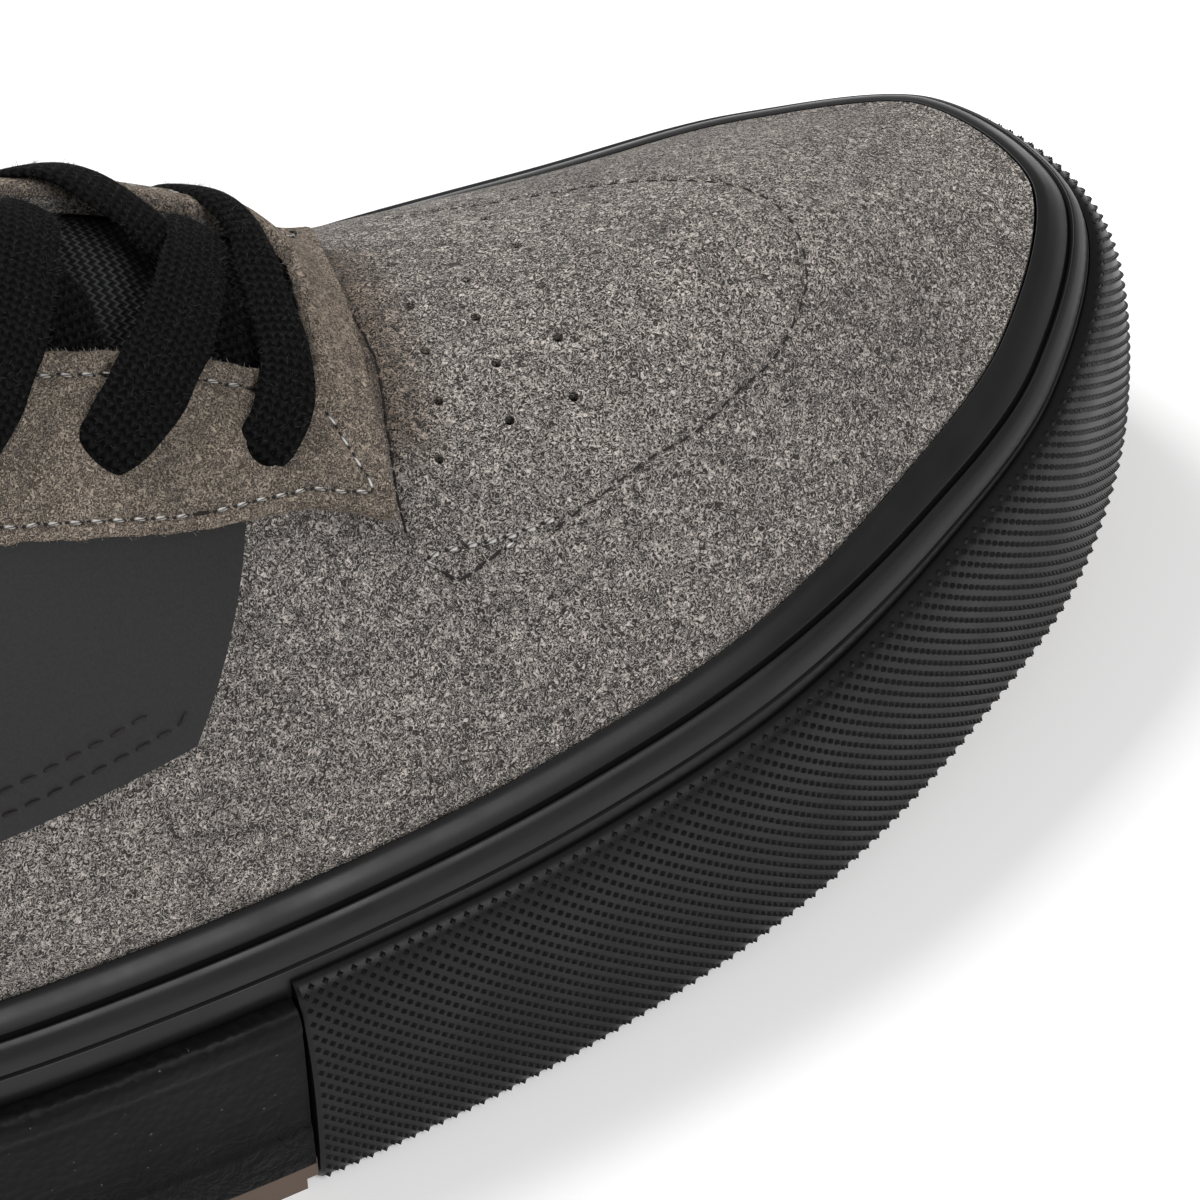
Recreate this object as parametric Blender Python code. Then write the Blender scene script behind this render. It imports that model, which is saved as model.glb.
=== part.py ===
"""A low lace-up skateboarding shoe for the right foot, as the pieces that a shoemaker joins.

+X runs from heel to toe, +Y to the inner side of the foot and +Z up. The sole rests on z = 0,
and the origin is under the middle of its outline. Lengths are in metres.
"""

import math

import bmesh
import bpy
import numpy as np
from mathutils import Vector
from mathutils.bvhtree import BVHTree

MM = 0.001

# Driving sizes of the sole
SOLE_LENGTH = 300 * MM
SOLE_WIDTH = 110 * MM
TOE_SPRING = 10.8 * MM
SPRING_START = 0.65
OUTSOLE_THICKNESS = 4.5 * MM
OUTSOLE_LEDGE = 1.1 * MM
TREAD_DEPTH = 1.6 * MM
GROOVE_WIDTH = 2.4 * MM
GROOVE_PITCH = 9.5 * MM
GROOVE_SWEEP = 7.0 * MM
ARCH_LIFT = 1.2 * MM
FOOTBED_HEIGHT = 12.0 * MM
INSOLE_THICKNESS = 4.0 * MM

# Driving sizes of the side wall, from its outline inwards and from the floor upwards
TAPE_THICKNESS = 4.1 * MM
FOXING_HEIGHT = 28.0 * MM
BUMPER_HEIGHT = 29.9 * MM
BUMPER_START = 0.575
WELT_HEIGHT = 37.4 * MM
WELT_INSET = 10.4 * MM
WELT_TOE_DROP = 4.2 * MM
HEEL_EASE = 2.8 * MM
EASE_START = 0.48
BAND_SWELL = 1.0 * MM

# Driving sizes of the upper
WALL = 2.0 * MM
OVERLAY = 1.4 * MM
PANEL = 0.9 * MM
COLLAR_PAD = 5.0 * MM
COLLAR_DEPTH = 26.0 * MM
COLLAR_RISE = 3.5 * MM
TONGUE_THICKNESS = 5.0 * MM
TONGUE_LENGTH = 112.0 * MM
TONGUE_WIDTH = 58.0 * MM
INSTEP_HEIGHT = 130.0 * MM
THROAT_FRONT = 201.0 * MM
THROAT_LENGTH = 90.0 * MM
THROAT_WIDTH = 20.0 * MM
THROAT_CORNER = 4.0 * MM
THROAT_SLANT = 0.2
FACING_WIDTH = 17.5 * MM
FRONT_FACING = 13.0 * MM
FACING_TAPER = 28.0 * MM
FRONT_BAR = 5.0 * MM
COLLAR_HEIGHT = 80.0 * MM

# Driving sizes of the lacing
EYELET_PAIRS = 5
EYELET_PITCH = 17.6 * MM
EYELET_WIDTH = 4.6 * MM
EYELET_SETBACK = 11.5 * MM
EYELET_EDGE = 9.5 * MM
LACE_WIDTH = 6.4 * MM
LACE_THICKNESS = 1.4 * MM

# Clearance between pieces that meet
GAP = 0.3 * MM

# How finely the curved forms are cut into flats
SIDE_STEPS = 34
OUTLINE_SAMPLES = 320
LACE_STEPS = 12

# The sole's outline: along as a share of its length, across as a share of its width
OUTER_EDGE = (
    # along, across
    (0.000, 0.000),
    (0.035, -0.200),
    (0.115, -0.325),
    (0.200, -0.358),
    (0.290, -0.395),
    (0.370, -0.464),
    (0.455, -0.504),
    (0.545, -0.506),
    (0.630, -0.488),
    (0.717, -0.450),
    (0.800, -0.389),
    (0.880, -0.281),
    (0.950, -0.152),
    (1.000, 0.067),
)
INNER_EDGE = (
    # along, across
    (0.972, 0.297),
    (0.895, 0.395),
    (0.810, 0.429),
    (0.720, 0.456),
    (0.635, 0.453),
    (0.550, 0.408),
    (0.465, 0.347),
    (0.380, 0.315),
    (0.290, 0.318),
    (0.205, 0.335),
    (0.118, 0.318),
    (0.035, 0.200),
)

# The ridge that the two sides of the upper rise to, by share of the way from heel to toe.
# Along and across are shares of the sole's length and width, height is a share of the instep's,
# and fullness is how the side bulges: low for a steep side, 1 for a flat parabola.
RIDGE = (
    # way, along, across, height, fullness
    (0.00, 0.180, 0.000, 0.985, 0.62),
    (0.15, 0.235, 0.000, 1.000, 0.60),
    (0.30, 0.330, 0.000, 0.940, 0.60),
    (0.42, 0.440, 0.012, 0.792, 0.60),
    (0.54, 0.560, 0.030, 0.666, 0.66),
    (0.60, 0.615, 0.032, 0.592, 0.72),
    (0.64, 0.652, 0.022, 0.536, 0.80),
    (0.68, 0.685, 0.005, 0.498, 0.88),
    (0.74, 0.722, -0.012, 0.483, 0.95),
    (0.84, 0.760, -0.021, 0.480, 1.08),
    (0.93, 0.784, -0.0185, 0.478, 1.30),
    (1.00, 0.800, -0.0115, 0.476, 1.50),
)

# The angles, from the base of a side to the ridge, at which a section has a point
SECTION_ANGLES = (0, 15, 26, 37, 48, 58.5, 69, 79.5, 90)

# The top edge of the upper seen from the side: along the sole and as a share of its height
COLLAR_LINE = (
    # along, height
    (-0.020, 0.975),
    (0.060, 0.980),
    (0.110, 0.900),
    (0.160, 0.812),
    (0.215, 0.775),
    (0.270, 0.810),
    (0.320, 0.940),
    (0.355, 1.120),
    (0.375, 1.320),
    (0.385, 1.700),
)

# The outline of a side panel seen from the side: along the sole and as a share of the welt height
SIDE_PANEL = (
    # along, height
    (0.625, 1.900),
    (0.575, 1.520),
    (0.365, 1.520),
    (0.415, 2.800),
    (0.625, 2.800),
)

SUEDE_COLOUR = (0.145, 0.125, 0.108, 1)
RUBBER_COLOUR = (0.012, 0.012, 0.013, 1)
GUM_COLOUR = (0.150, 0.095, 0.060, 1)
TEXTILE_COLOUR = (0.010, 0.010, 0.011, 1)


def clear_scene():
    for item in list(bpy.data.objects):
        bpy.data.objects.remove(item, do_unlink=True)


def new_collection(name):
    collection = bpy.data.collections.new(name)
    bpy.context.scene.collection.children.link(collection)
    return collection


def new_material(name, colour, roughness):
    material = bpy.data.materials.new(name)
    material.use_nodes = True
    shader = material.node_tree.nodes["Principled BSDF"]
    shader.inputs["Base Color"].default_value = colour
    shader.inputs["Roughness"].default_value = roughness
    shader.inputs["Metallic"].default_value = 0.0
    material.diffuse_color = colour
    return material


clear_scene()
SHOE = new_collection("skate_shoe")
CUTTERS = new_collection("cutters")
SUEDE = new_material("suede", SUEDE_COLOUR, 0.95)
RUBBER = new_material("black_rubber", RUBBER_COLOUR, 0.45)
GUM = new_material("gum_rubber", GUM_COLOUR, 0.6)
TEXTILE = new_material("black_textile", TEXTILE_COLOUR, 0.9)
PANEL_LEATHER = new_material("black_leather", RUBBER_COLOUR, 0.5)


def smooth_line(knots, values, at):
    """A smooth line through the values at the knots, read at the places asked for."""
    knots = np.asarray(knots, float)
    values = np.asarray(values, float).reshape(len(knots), -1)
    at = np.clip(np.atleast_1d(at), knots[0], knots[-1])
    widths = np.diff(knots)
    slopes = np.diff(values, axis=0) / widths[:, None]
    bends = np.empty_like(values)
    bends[0] = slopes[0]
    bends[-1] = slopes[-1]
    before = slopes[:-1] * widths[1:, None]
    after = slopes[1:] * widths[:-1, None]
    bends[1:-1] = (before + after) / (widths[1:] + widths[:-1])[:, None]
    index = np.clip(np.searchsorted(knots, at, side="right") - 1, 0, len(widths) - 1)
    width = widths[index][:, None]
    u = ((at - knots[index]) / widths[index])[:, None]
    start = (2 * u**3 - 3 * u**2 + 1) * values[index] + (u**3 - 2 * u**2 + u) * width * bends[index]
    end = (3 * u**2 - 2 * u**3) * values[index + 1] + (u**3 - u**2) * width * bends[index + 1]
    return start + end


def lengths_along(points):
    return np.concatenate([[0.0], np.cumsum(np.hypot(*np.diff(points, axis=0).T))])


def read_rows(points, lengths, at):
    """Rows of points read at the given lengths."""
    return np.stack([np.interp(at, lengths, points[:, k]) for k in range(points.shape[1])], 1)


def way_shares():
    """Shares of the way from heel to toe at which the sole has a section.

    Two of them lie close together on each side of the bumper's end.
    """
    shares = list(np.linspace(0, 1, SIDE_STEPS + 1))
    nearest = min(shares, key=lambda share: abs(share - BUMPER_START))
    shares.remove(nearest)
    half_gap = 0.5 * GAP / SOLE_LENGTH
    shares += [BUMPER_START - half_gap, BUMPER_START + half_gap]
    return np.array(sorted(shares))


def sole_columns():
    """Points of the sole's outline, heel to toe by the outer side and back by the inner side,
    with the direction that faces out at each."""
    rows = np.array(OUTER_EDGE + INNER_EDGE) * (SOLE_LENGTH, SOLE_WIDTH)
    wrapped = np.vstack([rows[-3:], rows, rows[:4]])
    knots = lengths_along(wrapped)
    heel = knots[3]
    toe = knots[3 + len(OUTER_EDGE) - 1]
    end = knots[3 + len(rows)]
    outer = np.linspace(heel, toe, OUTLINE_SAMPLES)
    inner = np.linspace(toe, end, OUTLINE_SAMPLES)
    step = 0.4 * MM
    halves = []
    for places in (outer, inner):
        line = smooth_line(knots, wrapped, places)
        heading = smooth_line(knots, wrapped, places + step) - smooth_line(knots, wrapped, places - step)
        heading /= np.linalg.norm(heading, axis=1)[:, None]
        facing = np.stack([heading[:, 1], -heading[:, 0]], 1)
        lengths = lengths_along(line)
        shares = WAY if places is outer else 1 - WAY[::-1]
        halves.append(read_rows(np.hstack([line, facing]), lengths, shares * lengths[-1]))
    both = np.vstack([halves[0], halves[1][1:-1]])
    return both[:, :2], both[:, 2:]


WAY = way_shares()
OUTLINE, FACING = sole_columns()
COLUMNS = len(OUTLINE)
LAST = len(WAY) - 1
THROAT_BACK = THROAT_FRONT - 1.25 * THROAT_LENGTH
CENTRE = (OUTLINE.min(axis=0) + OUTLINE.max(axis=0)) / 2
COLUMN_WAY = np.concatenate([WAY, WAY[1:-1][::-1]])
IN_BUMPER = COLUMN_WAY > BUMPER_START


def lift(along, height=0.0):
    """How far the toe spring raises what lies at this place along the sole.

    The welt rises less than the floor side, so the side wall gets lower towards the toe.
    """
    start = SPRING_START * SOLE_LENGTH
    share = np.clip((np.asarray(along) - start) / (SOLE_LENGTH - start), 0, None) ** 2
    return share * (TOE_SPRING - WELT_TOE_DROP * height / WELT_HEIGHT)


def ring(inset, height):
    """The outline drawn in by an inset, at a height that follows the toe spring.

    What lies inside the tape moves out a little towards the heel, where the welt is narrower.
    """
    tape = TAPE_THICKNESS + GAP
    share = np.clip((inset - tape) / (WELT_INSET - GAP - tape), 0, 1)
    behind = np.clip(1 - OUTLINE[:, 0] / (EASE_START * SOLE_LENGTH), 0, 1)
    ease = HEEL_EASE * share * np.sin(np.pi / 2 * behind)
    plan = OUTLINE - FACING * (inset - ease)[:, None]
    return np.column_stack([plan, height + lift(OUTLINE[:, 0], height)])


def new_piece(name, points, faces, material, collection=SHOE):
    """A mesh object with outward faces from points in the shoe's frame."""
    mesh = bpy.data.meshes.new(name)
    shifted = np.asarray(points) - (CENTRE[0], CENTRE[1], 0)
    mesh.from_pydata(shifted.tolist(), [], [list(map(int, face)) for face in faces])
    build = bmesh.new()
    build.from_mesh(mesh)
    bmesh.ops.remove_doubles(build, verts=build.verts, dist=0.001 * MM)
    bmesh.ops.dissolve_degenerate(build, edges=build.edges, dist=0.001 * MM)
    bmesh.ops.recalc_face_normals(build, faces=build.faces)
    build.to_mesh(mesh)
    build.free()
    piece = bpy.data.objects.new(name, mesh)
    collection.objects.link(piece)
    if material is None:
        piece.hide_render = True
        piece.display_type = "WIRE"
    else:
        mesh.materials.append(material)
        mesh.shade_smooth()
        mesh.set_sharp_from_angle(angle=math.radians(35))
    return piece


def cut(piece, cutter, operation="DIFFERENCE"):
    change = piece.modifiers.new(cutter.name, "BOOLEAN")
    change.operation = operation
    change.solver = "EXACT"
    change.use_self = True
    change.object = cutter


def slab(name, rows, material):
    """A flat body under the foot: rings of the outline from bottom to top, closed across."""
    points = np.vstack(rows)
    faces = []
    for level in range(len(rows) - 1):
        for i in range(COLUMNS):
            j = (i + 1) % COLUMNS
            low = level * COLUMNS
            faces.append((low + i, low + j, low + COLUMNS + j, low + COLUMNS + i))
    for level in (0, len(rows) - 1):
        first = level * COLUMNS
        for i in range(LAST):
            left = (COLUMNS - i) % COLUMNS
            face = [first + i, first + i + 1, first + COLUMNS - i - 1, first + left]
            faces.append(list(dict.fromkeys(face)))
    return new_piece(name, points, faces, material)


def wall_strip(name, section, material, chosen=None):
    """A strip round the side of the sole, whose section is a list of insets and heights.

    It runs all the way round, or along a run of neighbouring columns with flat ends.
    """
    rings = [ring(inset, height) for inset, height in section]
    order = list(range(COLUMNS)) if chosen is None else chosen
    points = np.vstack([np.array([row[i] for row in rings]) for i in order])
    size = len(section)
    steps = len(order) if chosen is None else len(order) - 1
    faces = []
    for step in range(steps):
        this = step * size
        following = ((step + 1) % len(order)) * size
        for k in range(size):
            m = (k + 1) % size
            faces.append((this + k, following + k, following + m, this + m))
    if chosen is not None:
        faces.append(list(range(size)))
        faces.append([(len(order) - 1) * size + k for k in range(size)][::-1])
    return new_piece(name, points, faces, material)


def dome_rows():
    """The outer face of the upper: for each column a line from the footbed up to the ridge."""
    rows = smooth_line([row[0] for row in RIDGE], [row[1:] for row in RIDGE], WAY)
    top = rows[:, :3] * (SOLE_LENGTH, SOLE_WIDTH, INSTEP_HEIGHT)
    station = np.concatenate([np.arange(LAST + 1), np.arange(1, LAST)[::-1]])
    ridge = top[station]
    fullness = rows[station, 3]
    base = ring(WELT_INSET, WELT_HEIGHT)
    lines = [ring(WELT_INSET, FOOTBED_HEIGHT + GAP)]
    for angle in np.radians(SECTION_ANGLES):
        out = math.cos(angle)
        up = math.sin(angle) ** (2 * fullness)
        if angle == math.radians(90):
            out, up = 0.0, np.ones(COLUMNS)
        plan = ridge[:, :2] + (base[:, :2] - ridge[:, :2]) * out
        lines.append(np.column_stack([plan, base[:, 2] + (ridge[:, 2] - base[:, 2]) * up]))
    return np.stack(lines, 1)


def dome_normals(rows):
    """Directions out of the dome at each point, long enough to keep an even wall at a bend."""
    along = np.roll(rows, -1, axis=0) - np.roll(rows, 1, axis=0)
    along[:, -1] = along[:, -2]
    steps = np.diff(rows, axis=1)
    faces = np.cross((along[:, :-1] + along[:, 1:]) / 2, steps)
    faces /= np.linalg.norm(faces, axis=2)[:, :, None]
    normals = np.empty_like(rows)
    normals[:, 0] = faces[:, 0]
    normals[:, -1] = faces[:, -1]
    normals[:, 1:-1] = faces[:, :-1] + faces[:, 1:]
    twin = (COLUMNS - np.arange(COLUMNS)) % COLUMNS
    normals[:, -1] = normals[:, -1] + normals[twin, -1]
    normals /= np.linalg.norm(normals, axis=2)[:, :, None]
    bend = np.clip((normals[:, 1:-1] * faces[:, 1:]).sum(axis=2), 0.8, 1)
    normals[:, 1:-1] /= bend[:, :, None]
    return normals


DOME = dome_rows()
DOME_OUT = dome_normals(DOME)
HEIGHTS = DOME.shape[1]


def dome_faces(first_row, start):
    """Faces of the dome between a row and the ridge, where the two sides share their points."""
    def number(column, row):
        column %= COLUMNS
        if row == HEIGHTS - 1:
            column = min(column, COLUMNS - column)
        return start + column * HEIGHTS + row

    faces = []
    for column in range(COLUMNS):
        for row in range(first_row, HEIGHTS - 1):
            corners = (
                number(column, row),
                number(column + 1, row),
                number(column + 1, row + 1),
                number(column, row + 1),
            )
            faces.append(list(dict.fromkeys(corners)))
    return faces


def dome_shell(name, low, high, first_row, material, collection=SHOE):
    """A shell that follows the upper from a row to the ridge, between two distances out."""
    inner = DOME + DOME_OUT * low
    outer = DOME + DOME_OUT * high
    points = np.vstack([outer.reshape(-1, 3), inner.reshape(-1, 3)])
    count = COLUMNS * HEIGHTS
    faces = dome_faces(first_row, 0)
    faces += [face[::-1] for face in dome_faces(first_row, count)]
    for column in range(COLUMNS):
        here = column * HEIGHTS + first_row
        there = ((column + 1) % COLUMNS) * HEIGHTS + first_row
        faces.append((here, here + count, there + count, there))
    used = sorted({corner for face in faces for corner in face})
    place = {corner: index for index, corner in enumerate(used)}
    faces = [[place[corner] for corner in face] for face in faces]
    return new_piece(name, points[used], faces, material, collection)


def prism(name, outline, low, high, axis=2):
    """A cutter: a closed outline pushed straight along an axis, Z for a plan, Y for a side view."""
    outline = np.asarray(outline, float)
    size = len(outline)
    points = np.empty((2 * size, 3))
    kept = [k for k in range(3) if k != axis]
    points[:, kept] = np.vstack([outline, outline])
    points[:size, axis] = low
    points[size:, axis] = high
    faces = [list(range(size)), list(range(size, 2 * size))[::-1]]
    for i in range(size):
        j = (i + 1) % size
        faces.append((i, size + i, size + j, j))
    return new_piece(name, points, faces, None, CUTTERS)


def ridge_across(along):
    """The plan place of the ridge across the shoe, at a place along it."""
    table = np.array(RIDGE)
    return smooth_line(table[:, 1] * SOLE_LENGTH, table[:, 2] * SOLE_WIDTH, along)[:, 0]


DOME_TREE = BVHTree.FromPolygons(
    DOME.reshape(-1, 3).tolist(), [[int(c) for c in face] for face in dome_faces(1, 0)]
)


def on_dome(along, across, out=0.0):
    """The point of the upper's outer face over a place in plan, and the direction out of it."""
    sky = Vector((along, across, 2 * INSTEP_HEIGHT))
    place, normal, _, _ = DOME_TREE.ray_cast(sky, Vector((0, 0, -1)))
    if place is None:
        return None, None
    if normal.z < 0:
        normal = -normal
    return np.array(place) + np.array(normal) * out, np.array(normal)


def walk_out(along, across, sign, distance):
    """Where a tape measure laid down the side of the upper from a place in plan would end."""
    step = 0.5 * MM
    here, _ = on_dome(along, across)
    while distance > 0:
        there, _ = on_dome(along, across + sign * step)
        if there is None:
            break
        across += sign * step
        distance -= float(np.linalg.norm(there - here))
        here = there
    return across


def slanted(outline):
    """A plan outline whose front is turned a little, so that the inner side reaches further.

    The turn fades out over one facing's taper behind the front.
    """
    centre = ridge_across(outline[:, 0])
    fade = np.clip(1 - (THROAT_FRONT - outline[:, 0]) / FACING_TAPER, 0, 1)
    shift = THROAT_SLANT * fade * (outline[:, 1] - centre)
    return np.column_stack([outline[:, 0] + shift, outline[:, 1]])


def throat_half_width(along):
    """The opening widens a little from its front to the collar."""
    share = (THROAT_FRONT - along) / THROAT_LENGTH
    return THROAT_WIDTH / 2 * (1 + 0.3 * np.clip(share, 0, 1.4))


def throat_outline(margin=0.0):
    """The lace opening in plan, with rounded front corners, running back past the collar."""
    front = THROAT_FRONT + margin
    corner = THROAT_CORNER
    alongs = np.linspace(front - corner, THROAT_BACK, 9)
    sides = []
    for sign in (-1, 1):
        centre = ridge_across(alongs)
        side = centre + sign * (throat_half_width(alongs) + margin)
        sides.append(np.column_stack([alongs, side]))
    arcs = []
    for line, sign in zip(sides, (-1, 1)):
        turn = np.radians([30, 60, 90])
        inner = line[0, 1] - sign * corner
        along = front - corner + corner * np.sin(turn)
        arcs.append(np.column_stack([along, inner + sign * corner * np.cos(turn)]))
    return slanted(np.vstack([sides[0][::-1], arcs[0], arcs[1][::-1], sides[1]]))


def collar_profile(shift=0.0):
    """The top edge of the upper seen from the side, moved up or down."""
    table = np.array(COLLAR_LINE)
    places = np.linspace(table[0, 0], table[-1, 0], 26)
    heights = smooth_line(table[:, 0], table[:, 1], places)[:, 0]
    return np.column_stack([places * SOLE_LENGTH, heights * COLLAR_HEIGHT + shift])


def above_collar(name, shift=0.0):
    line = collar_profile(shift)
    top = 2 * INSTEP_HEIGHT
    corners = [(line[-1, 0], top), (line[0, 0], top)]
    return prism(name, np.vstack([line, corners]), -SOLE_WIDTH, SOLE_WIDTH, axis=1)


def eyelet_places():
    """Plan places of the lace holes from front to back, on the outer and the inner facing."""
    places = []
    for pair in range(EYELET_PAIRS):
        along = THROAT_FRONT - EYELET_SETBACK - pair * EYELET_PITCH
        centre = float(ridge_across(along)[0])
        reach = float(throat_half_width(along))
        edges = [(sign, centre + sign * reach) for sign in (-1, 1)]
        places.append([(along, walk_out(along, edge, sign, EYELET_EDGE)) for sign, edge in edges])
    return places


def eyelet_cutter():
    """All lace holes as one cutter: short round pins square to the upper."""
    build = bmesh.new()
    for pair in eyelet_places():
        for along, across in pair:
            place, normal = on_dome(along, across)
            turn = Vector(normal).to_track_quat("Z", "Y").to_matrix().to_4x4()
            turn.translation = Vector(place - (CENTRE[0], CENTRE[1], 0))
            bmesh.ops.create_cone(
                build,
                cap_ends=True,
                segments=8,
                radius1=EYELET_WIDTH / 2,
                radius2=EYELET_WIDTH / 2,
                depth=4 * (WALL + OVERLAY),
                matrix=turn,
            )
    mesh = bpy.data.meshes.new("eyelet_pins")
    build.to_mesh(mesh)
    build.free()
    piece = bpy.data.objects.new("eyelet_pins", mesh)
    CUTTERS.objects.link(piece)
    piece.hide_render = True
    piece.display_type = "WIRE"
    return piece


def eyestay_outline(margin=0.0):
    """The eyestay in plan: the lace opening and its facings, with square front corners."""
    front = THROAT_FRONT + FRONT_BAR + margin
    corner = FRONT_BAR / 3
    alongs = np.linspace(front - corner, THROAT_BACK, 10)
    taper = np.clip((THROAT_FRONT - alongs) / FACING_TAPER, 0, 1)
    widths = FRONT_FACING + (FACING_WIDTH - FRONT_FACING) * taper
    sides = []
    for sign in (-1, 1):
        edges = ridge_across(alongs) + sign * throat_half_width(alongs)
        side = [
            walk_out(along, edge, sign, width) + sign * margin
            for along, edge, width in zip(alongs, edges, widths)
        ]
        sides.append(np.column_stack([alongs, side]))
    nose = [(front, line[0, 1] - sign * corner) for line, sign in zip(sides, (-1, 1))]
    return slanted(np.vstack([sides[0][::-1], nose, sides[1]]))


def build_outsole():
    """Gum rubber sheet with chevron bars under heel and forefoot and a lifted arch."""
    edge = np.where(IN_BUMPER, TAPE_THICKNESS + GAP, OUTSOLE_LEDGE)
    rows = [ring(edge, 0), ring(edge, OUTSOLE_THICKNESS)]
    outsole = slab("outsole", rows, GUM)
    cut(outsole, tread_cutter())
    cut(outsole, arch_cutter())


def tread_cutter():
    points = []
    faces = []
    half = GROOVE_WIDTH / 2
    heel_bars = np.arange(0.08 * SOLE_LENGTH, 0.32 * SOLE_LENGTH, GROOVE_PITCH)
    front_bars = np.arange(0.50 * SOLE_LENGTH, 0.93 * SOLE_LENGTH, GROOVE_PITCH)
    for along in np.concatenate([heel_bars, front_bars]):
        start = len(points)
        for share in (-1.0, 0.0, 1.0):
            middle = along + GROOVE_SWEEP * (0.5 - abs(share))
            across = share * SOLE_WIDTH * 0.6
            for side in (-half, half):
                place = middle + side
                top = TREAD_DEPTH + float(lift(place))
                points.append((place, across, top - TREAD_DEPTH - GROOVE_WIDTH))
                points.append((place, across, top))
        for k in range(2):
            a = start + 4 * k
            b = a + 4
            for m, n in ((0, 1), (1, 3), (3, 2), (2, 0)):
                faces.append((a + m, a + n, b + n, b + m))
        faces.append((start, start + 2, start + 3, start + 1))
        faces.append((start + 8, start + 9, start + 11, start + 10))
    return new_piece("tread_grooves", points, faces, None, CUTTERS)


def arch_cutter():
    """A shallow wedge-ended block that lifts the waist of the sole off the floor."""
    low = -GROOVE_WIDTH
    places = [(0.345, low), (0.365, ARCH_LIFT), (0.460, ARCH_LIFT), (0.480, low)]
    outline = [(along * SOLE_LENGTH, height) for along, height in places]
    return prism("arch_block", outline, -SOLE_WIDTH, SOLE_WIDTH, axis=1)


def build_midsole():
    """The filler board between outsole and foot, hidden behind the side tape."""
    inset = TAPE_THICKNESS + GAP
    low = OUTSOLE_THICKNESS + GAP
    slab("midsole", [ring(inset, low), ring(inset, FOOTBED_HEIGHT)], RUBBER)


def build_insole():
    """The removable footbed inside the upper."""
    low = FOOTBED_HEIGHT + GAP
    inset = WELT_INSET + WALL + 2 * GAP
    rounding = 1.2 * MM
    rows = [
        ring(inset, low),
        ring(inset, low + INSOLE_THICKNESS - rounding),
        ring(inset + rounding, low + INSOLE_THICKNESS),
    ]
    slab("insole", rows, TEXTILE)


def build_foxing():
    """The rubber tape round heel and waist, which stops where the toe bumper starts."""
    low = OUTSOLE_THICKNESS + GAP
    section = [
        (TAPE_THICKNESS, low),
        (1.5 * BAND_SWELL, low),
        (1.2 * BAND_SWELL, 0.45 * FOXING_HEIGHT),
        (1.4 * BAND_SWELL, 0.80 * FOXING_HEIGHT),
        (1.9 * BAND_SWELL, 0.92 * FOXING_HEIGHT),
        (2.7 * BAND_SWELL, 0.99 * FOXING_HEIGHT),
        (TAPE_THICKNESS, FOXING_HEIGHT),
    ]
    behind = int(np.searchsorted(WAY, BUMPER_START)) - 1
    order = [COLUMNS - i for i in range(behind, 0, -1)] + list(range(behind + 1))
    wall_strip("foxing", section, RUBBER, order)


def build_toe_bumper():
    """The thick rubber guard round the toe, from floor to welt."""
    section = [
        (TAPE_THICKNESS, 0.02 * BUMPER_HEIGHT),
        (1.1 * BAND_SWELL, 0.02 * BUMPER_HEIGHT),
        (0.3 * BAND_SWELL, 0.13 * BUMPER_HEIGHT),
        (0.0, 0.32 * BUMPER_HEIGHT),
        (0.0, 0.56 * BUMPER_HEIGHT),
        (0.7 * BAND_SWELL, 0.78 * BUMPER_HEIGHT),
        (2.0 * BAND_SWELL, 0.92 * BUMPER_HEIGHT),
        (3.2 * BAND_SWELL, 0.99 * BUMPER_HEIGHT),
        (TAPE_THICKNESS, BUMPER_HEIGHT),
    ]
    first = int(np.searchsorted(WAY, BUMPER_START))
    wall_strip("toe_bumper", section, RUBBER, list(range(first, COLUMNS - first + 1)))


def build_rand():
    """The rubber welt that holds the upper, with two raised bands on its shoulder."""
    inner = WELT_INSET - GAP
    outer = TAPE_THICKNESS + GAP
    band = (inner - outer) / 2
    low = FOOTBED_HEIGHT + GAP
    valley = WELT_HEIGHT - 2.6 * BAND_SWELL
    section = [
        (inner, low),
        (outer, low),
        (outer, BUMPER_HEIGHT - 0.2 * BAND_SWELL),
        (outer - 0.3 * BAND_SWELL, BUMPER_HEIGHT + 0.9 * BAND_SWELL),
        (outer + 0.15 * band, 0.5 * (BUMPER_HEIGHT + valley)),
        (outer + 0.35 * band, valley + 0.3 * BAND_SWELL),
        (outer + 0.80 * band, valley + 0.8 * BAND_SWELL),
        (outer + 1.05 * band, valley - 0.3 * BAND_SWELL),
        (outer + 1.30 * band, valley + 1.9 * BAND_SWELL),
        (outer + 1.75 * band, WELT_HEIGHT + 0.5 * BAND_SWELL),
        (inner, WELT_HEIGHT + 0.3 * BAND_SWELL),
    ]
    wall_strip("rand", section, RUBBER)


def build_upper(collar_cutter, throat_cutter, pins):
    """The suede wall: one hollow body, open at collar and lace opening and underneath."""
    upper = dome_shell("upper", -WALL, 0.0, 0, SUEDE)
    for cutter in (collar_cutter, throat_cutter, pins):
        cut(upper, cutter)


def build_eyestay(collar_cutter, throat_cutter, pins):
    """The overlay round the lace opening, cut from a shell just outside the upper."""
    eyestay = dome_shell("eyestay", GAP, GAP + OVERLAY, 2, SUEDE)
    plan = prism("eyestay_plan", eyestay_outline(), WELT_HEIGHT, 2 * INSTEP_HEIGHT)
    cut(eyestay, plan, "INTERSECT")
    for cutter in (collar_cutter, throat_cutter, pins):
        cut(eyestay, cutter)


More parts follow.
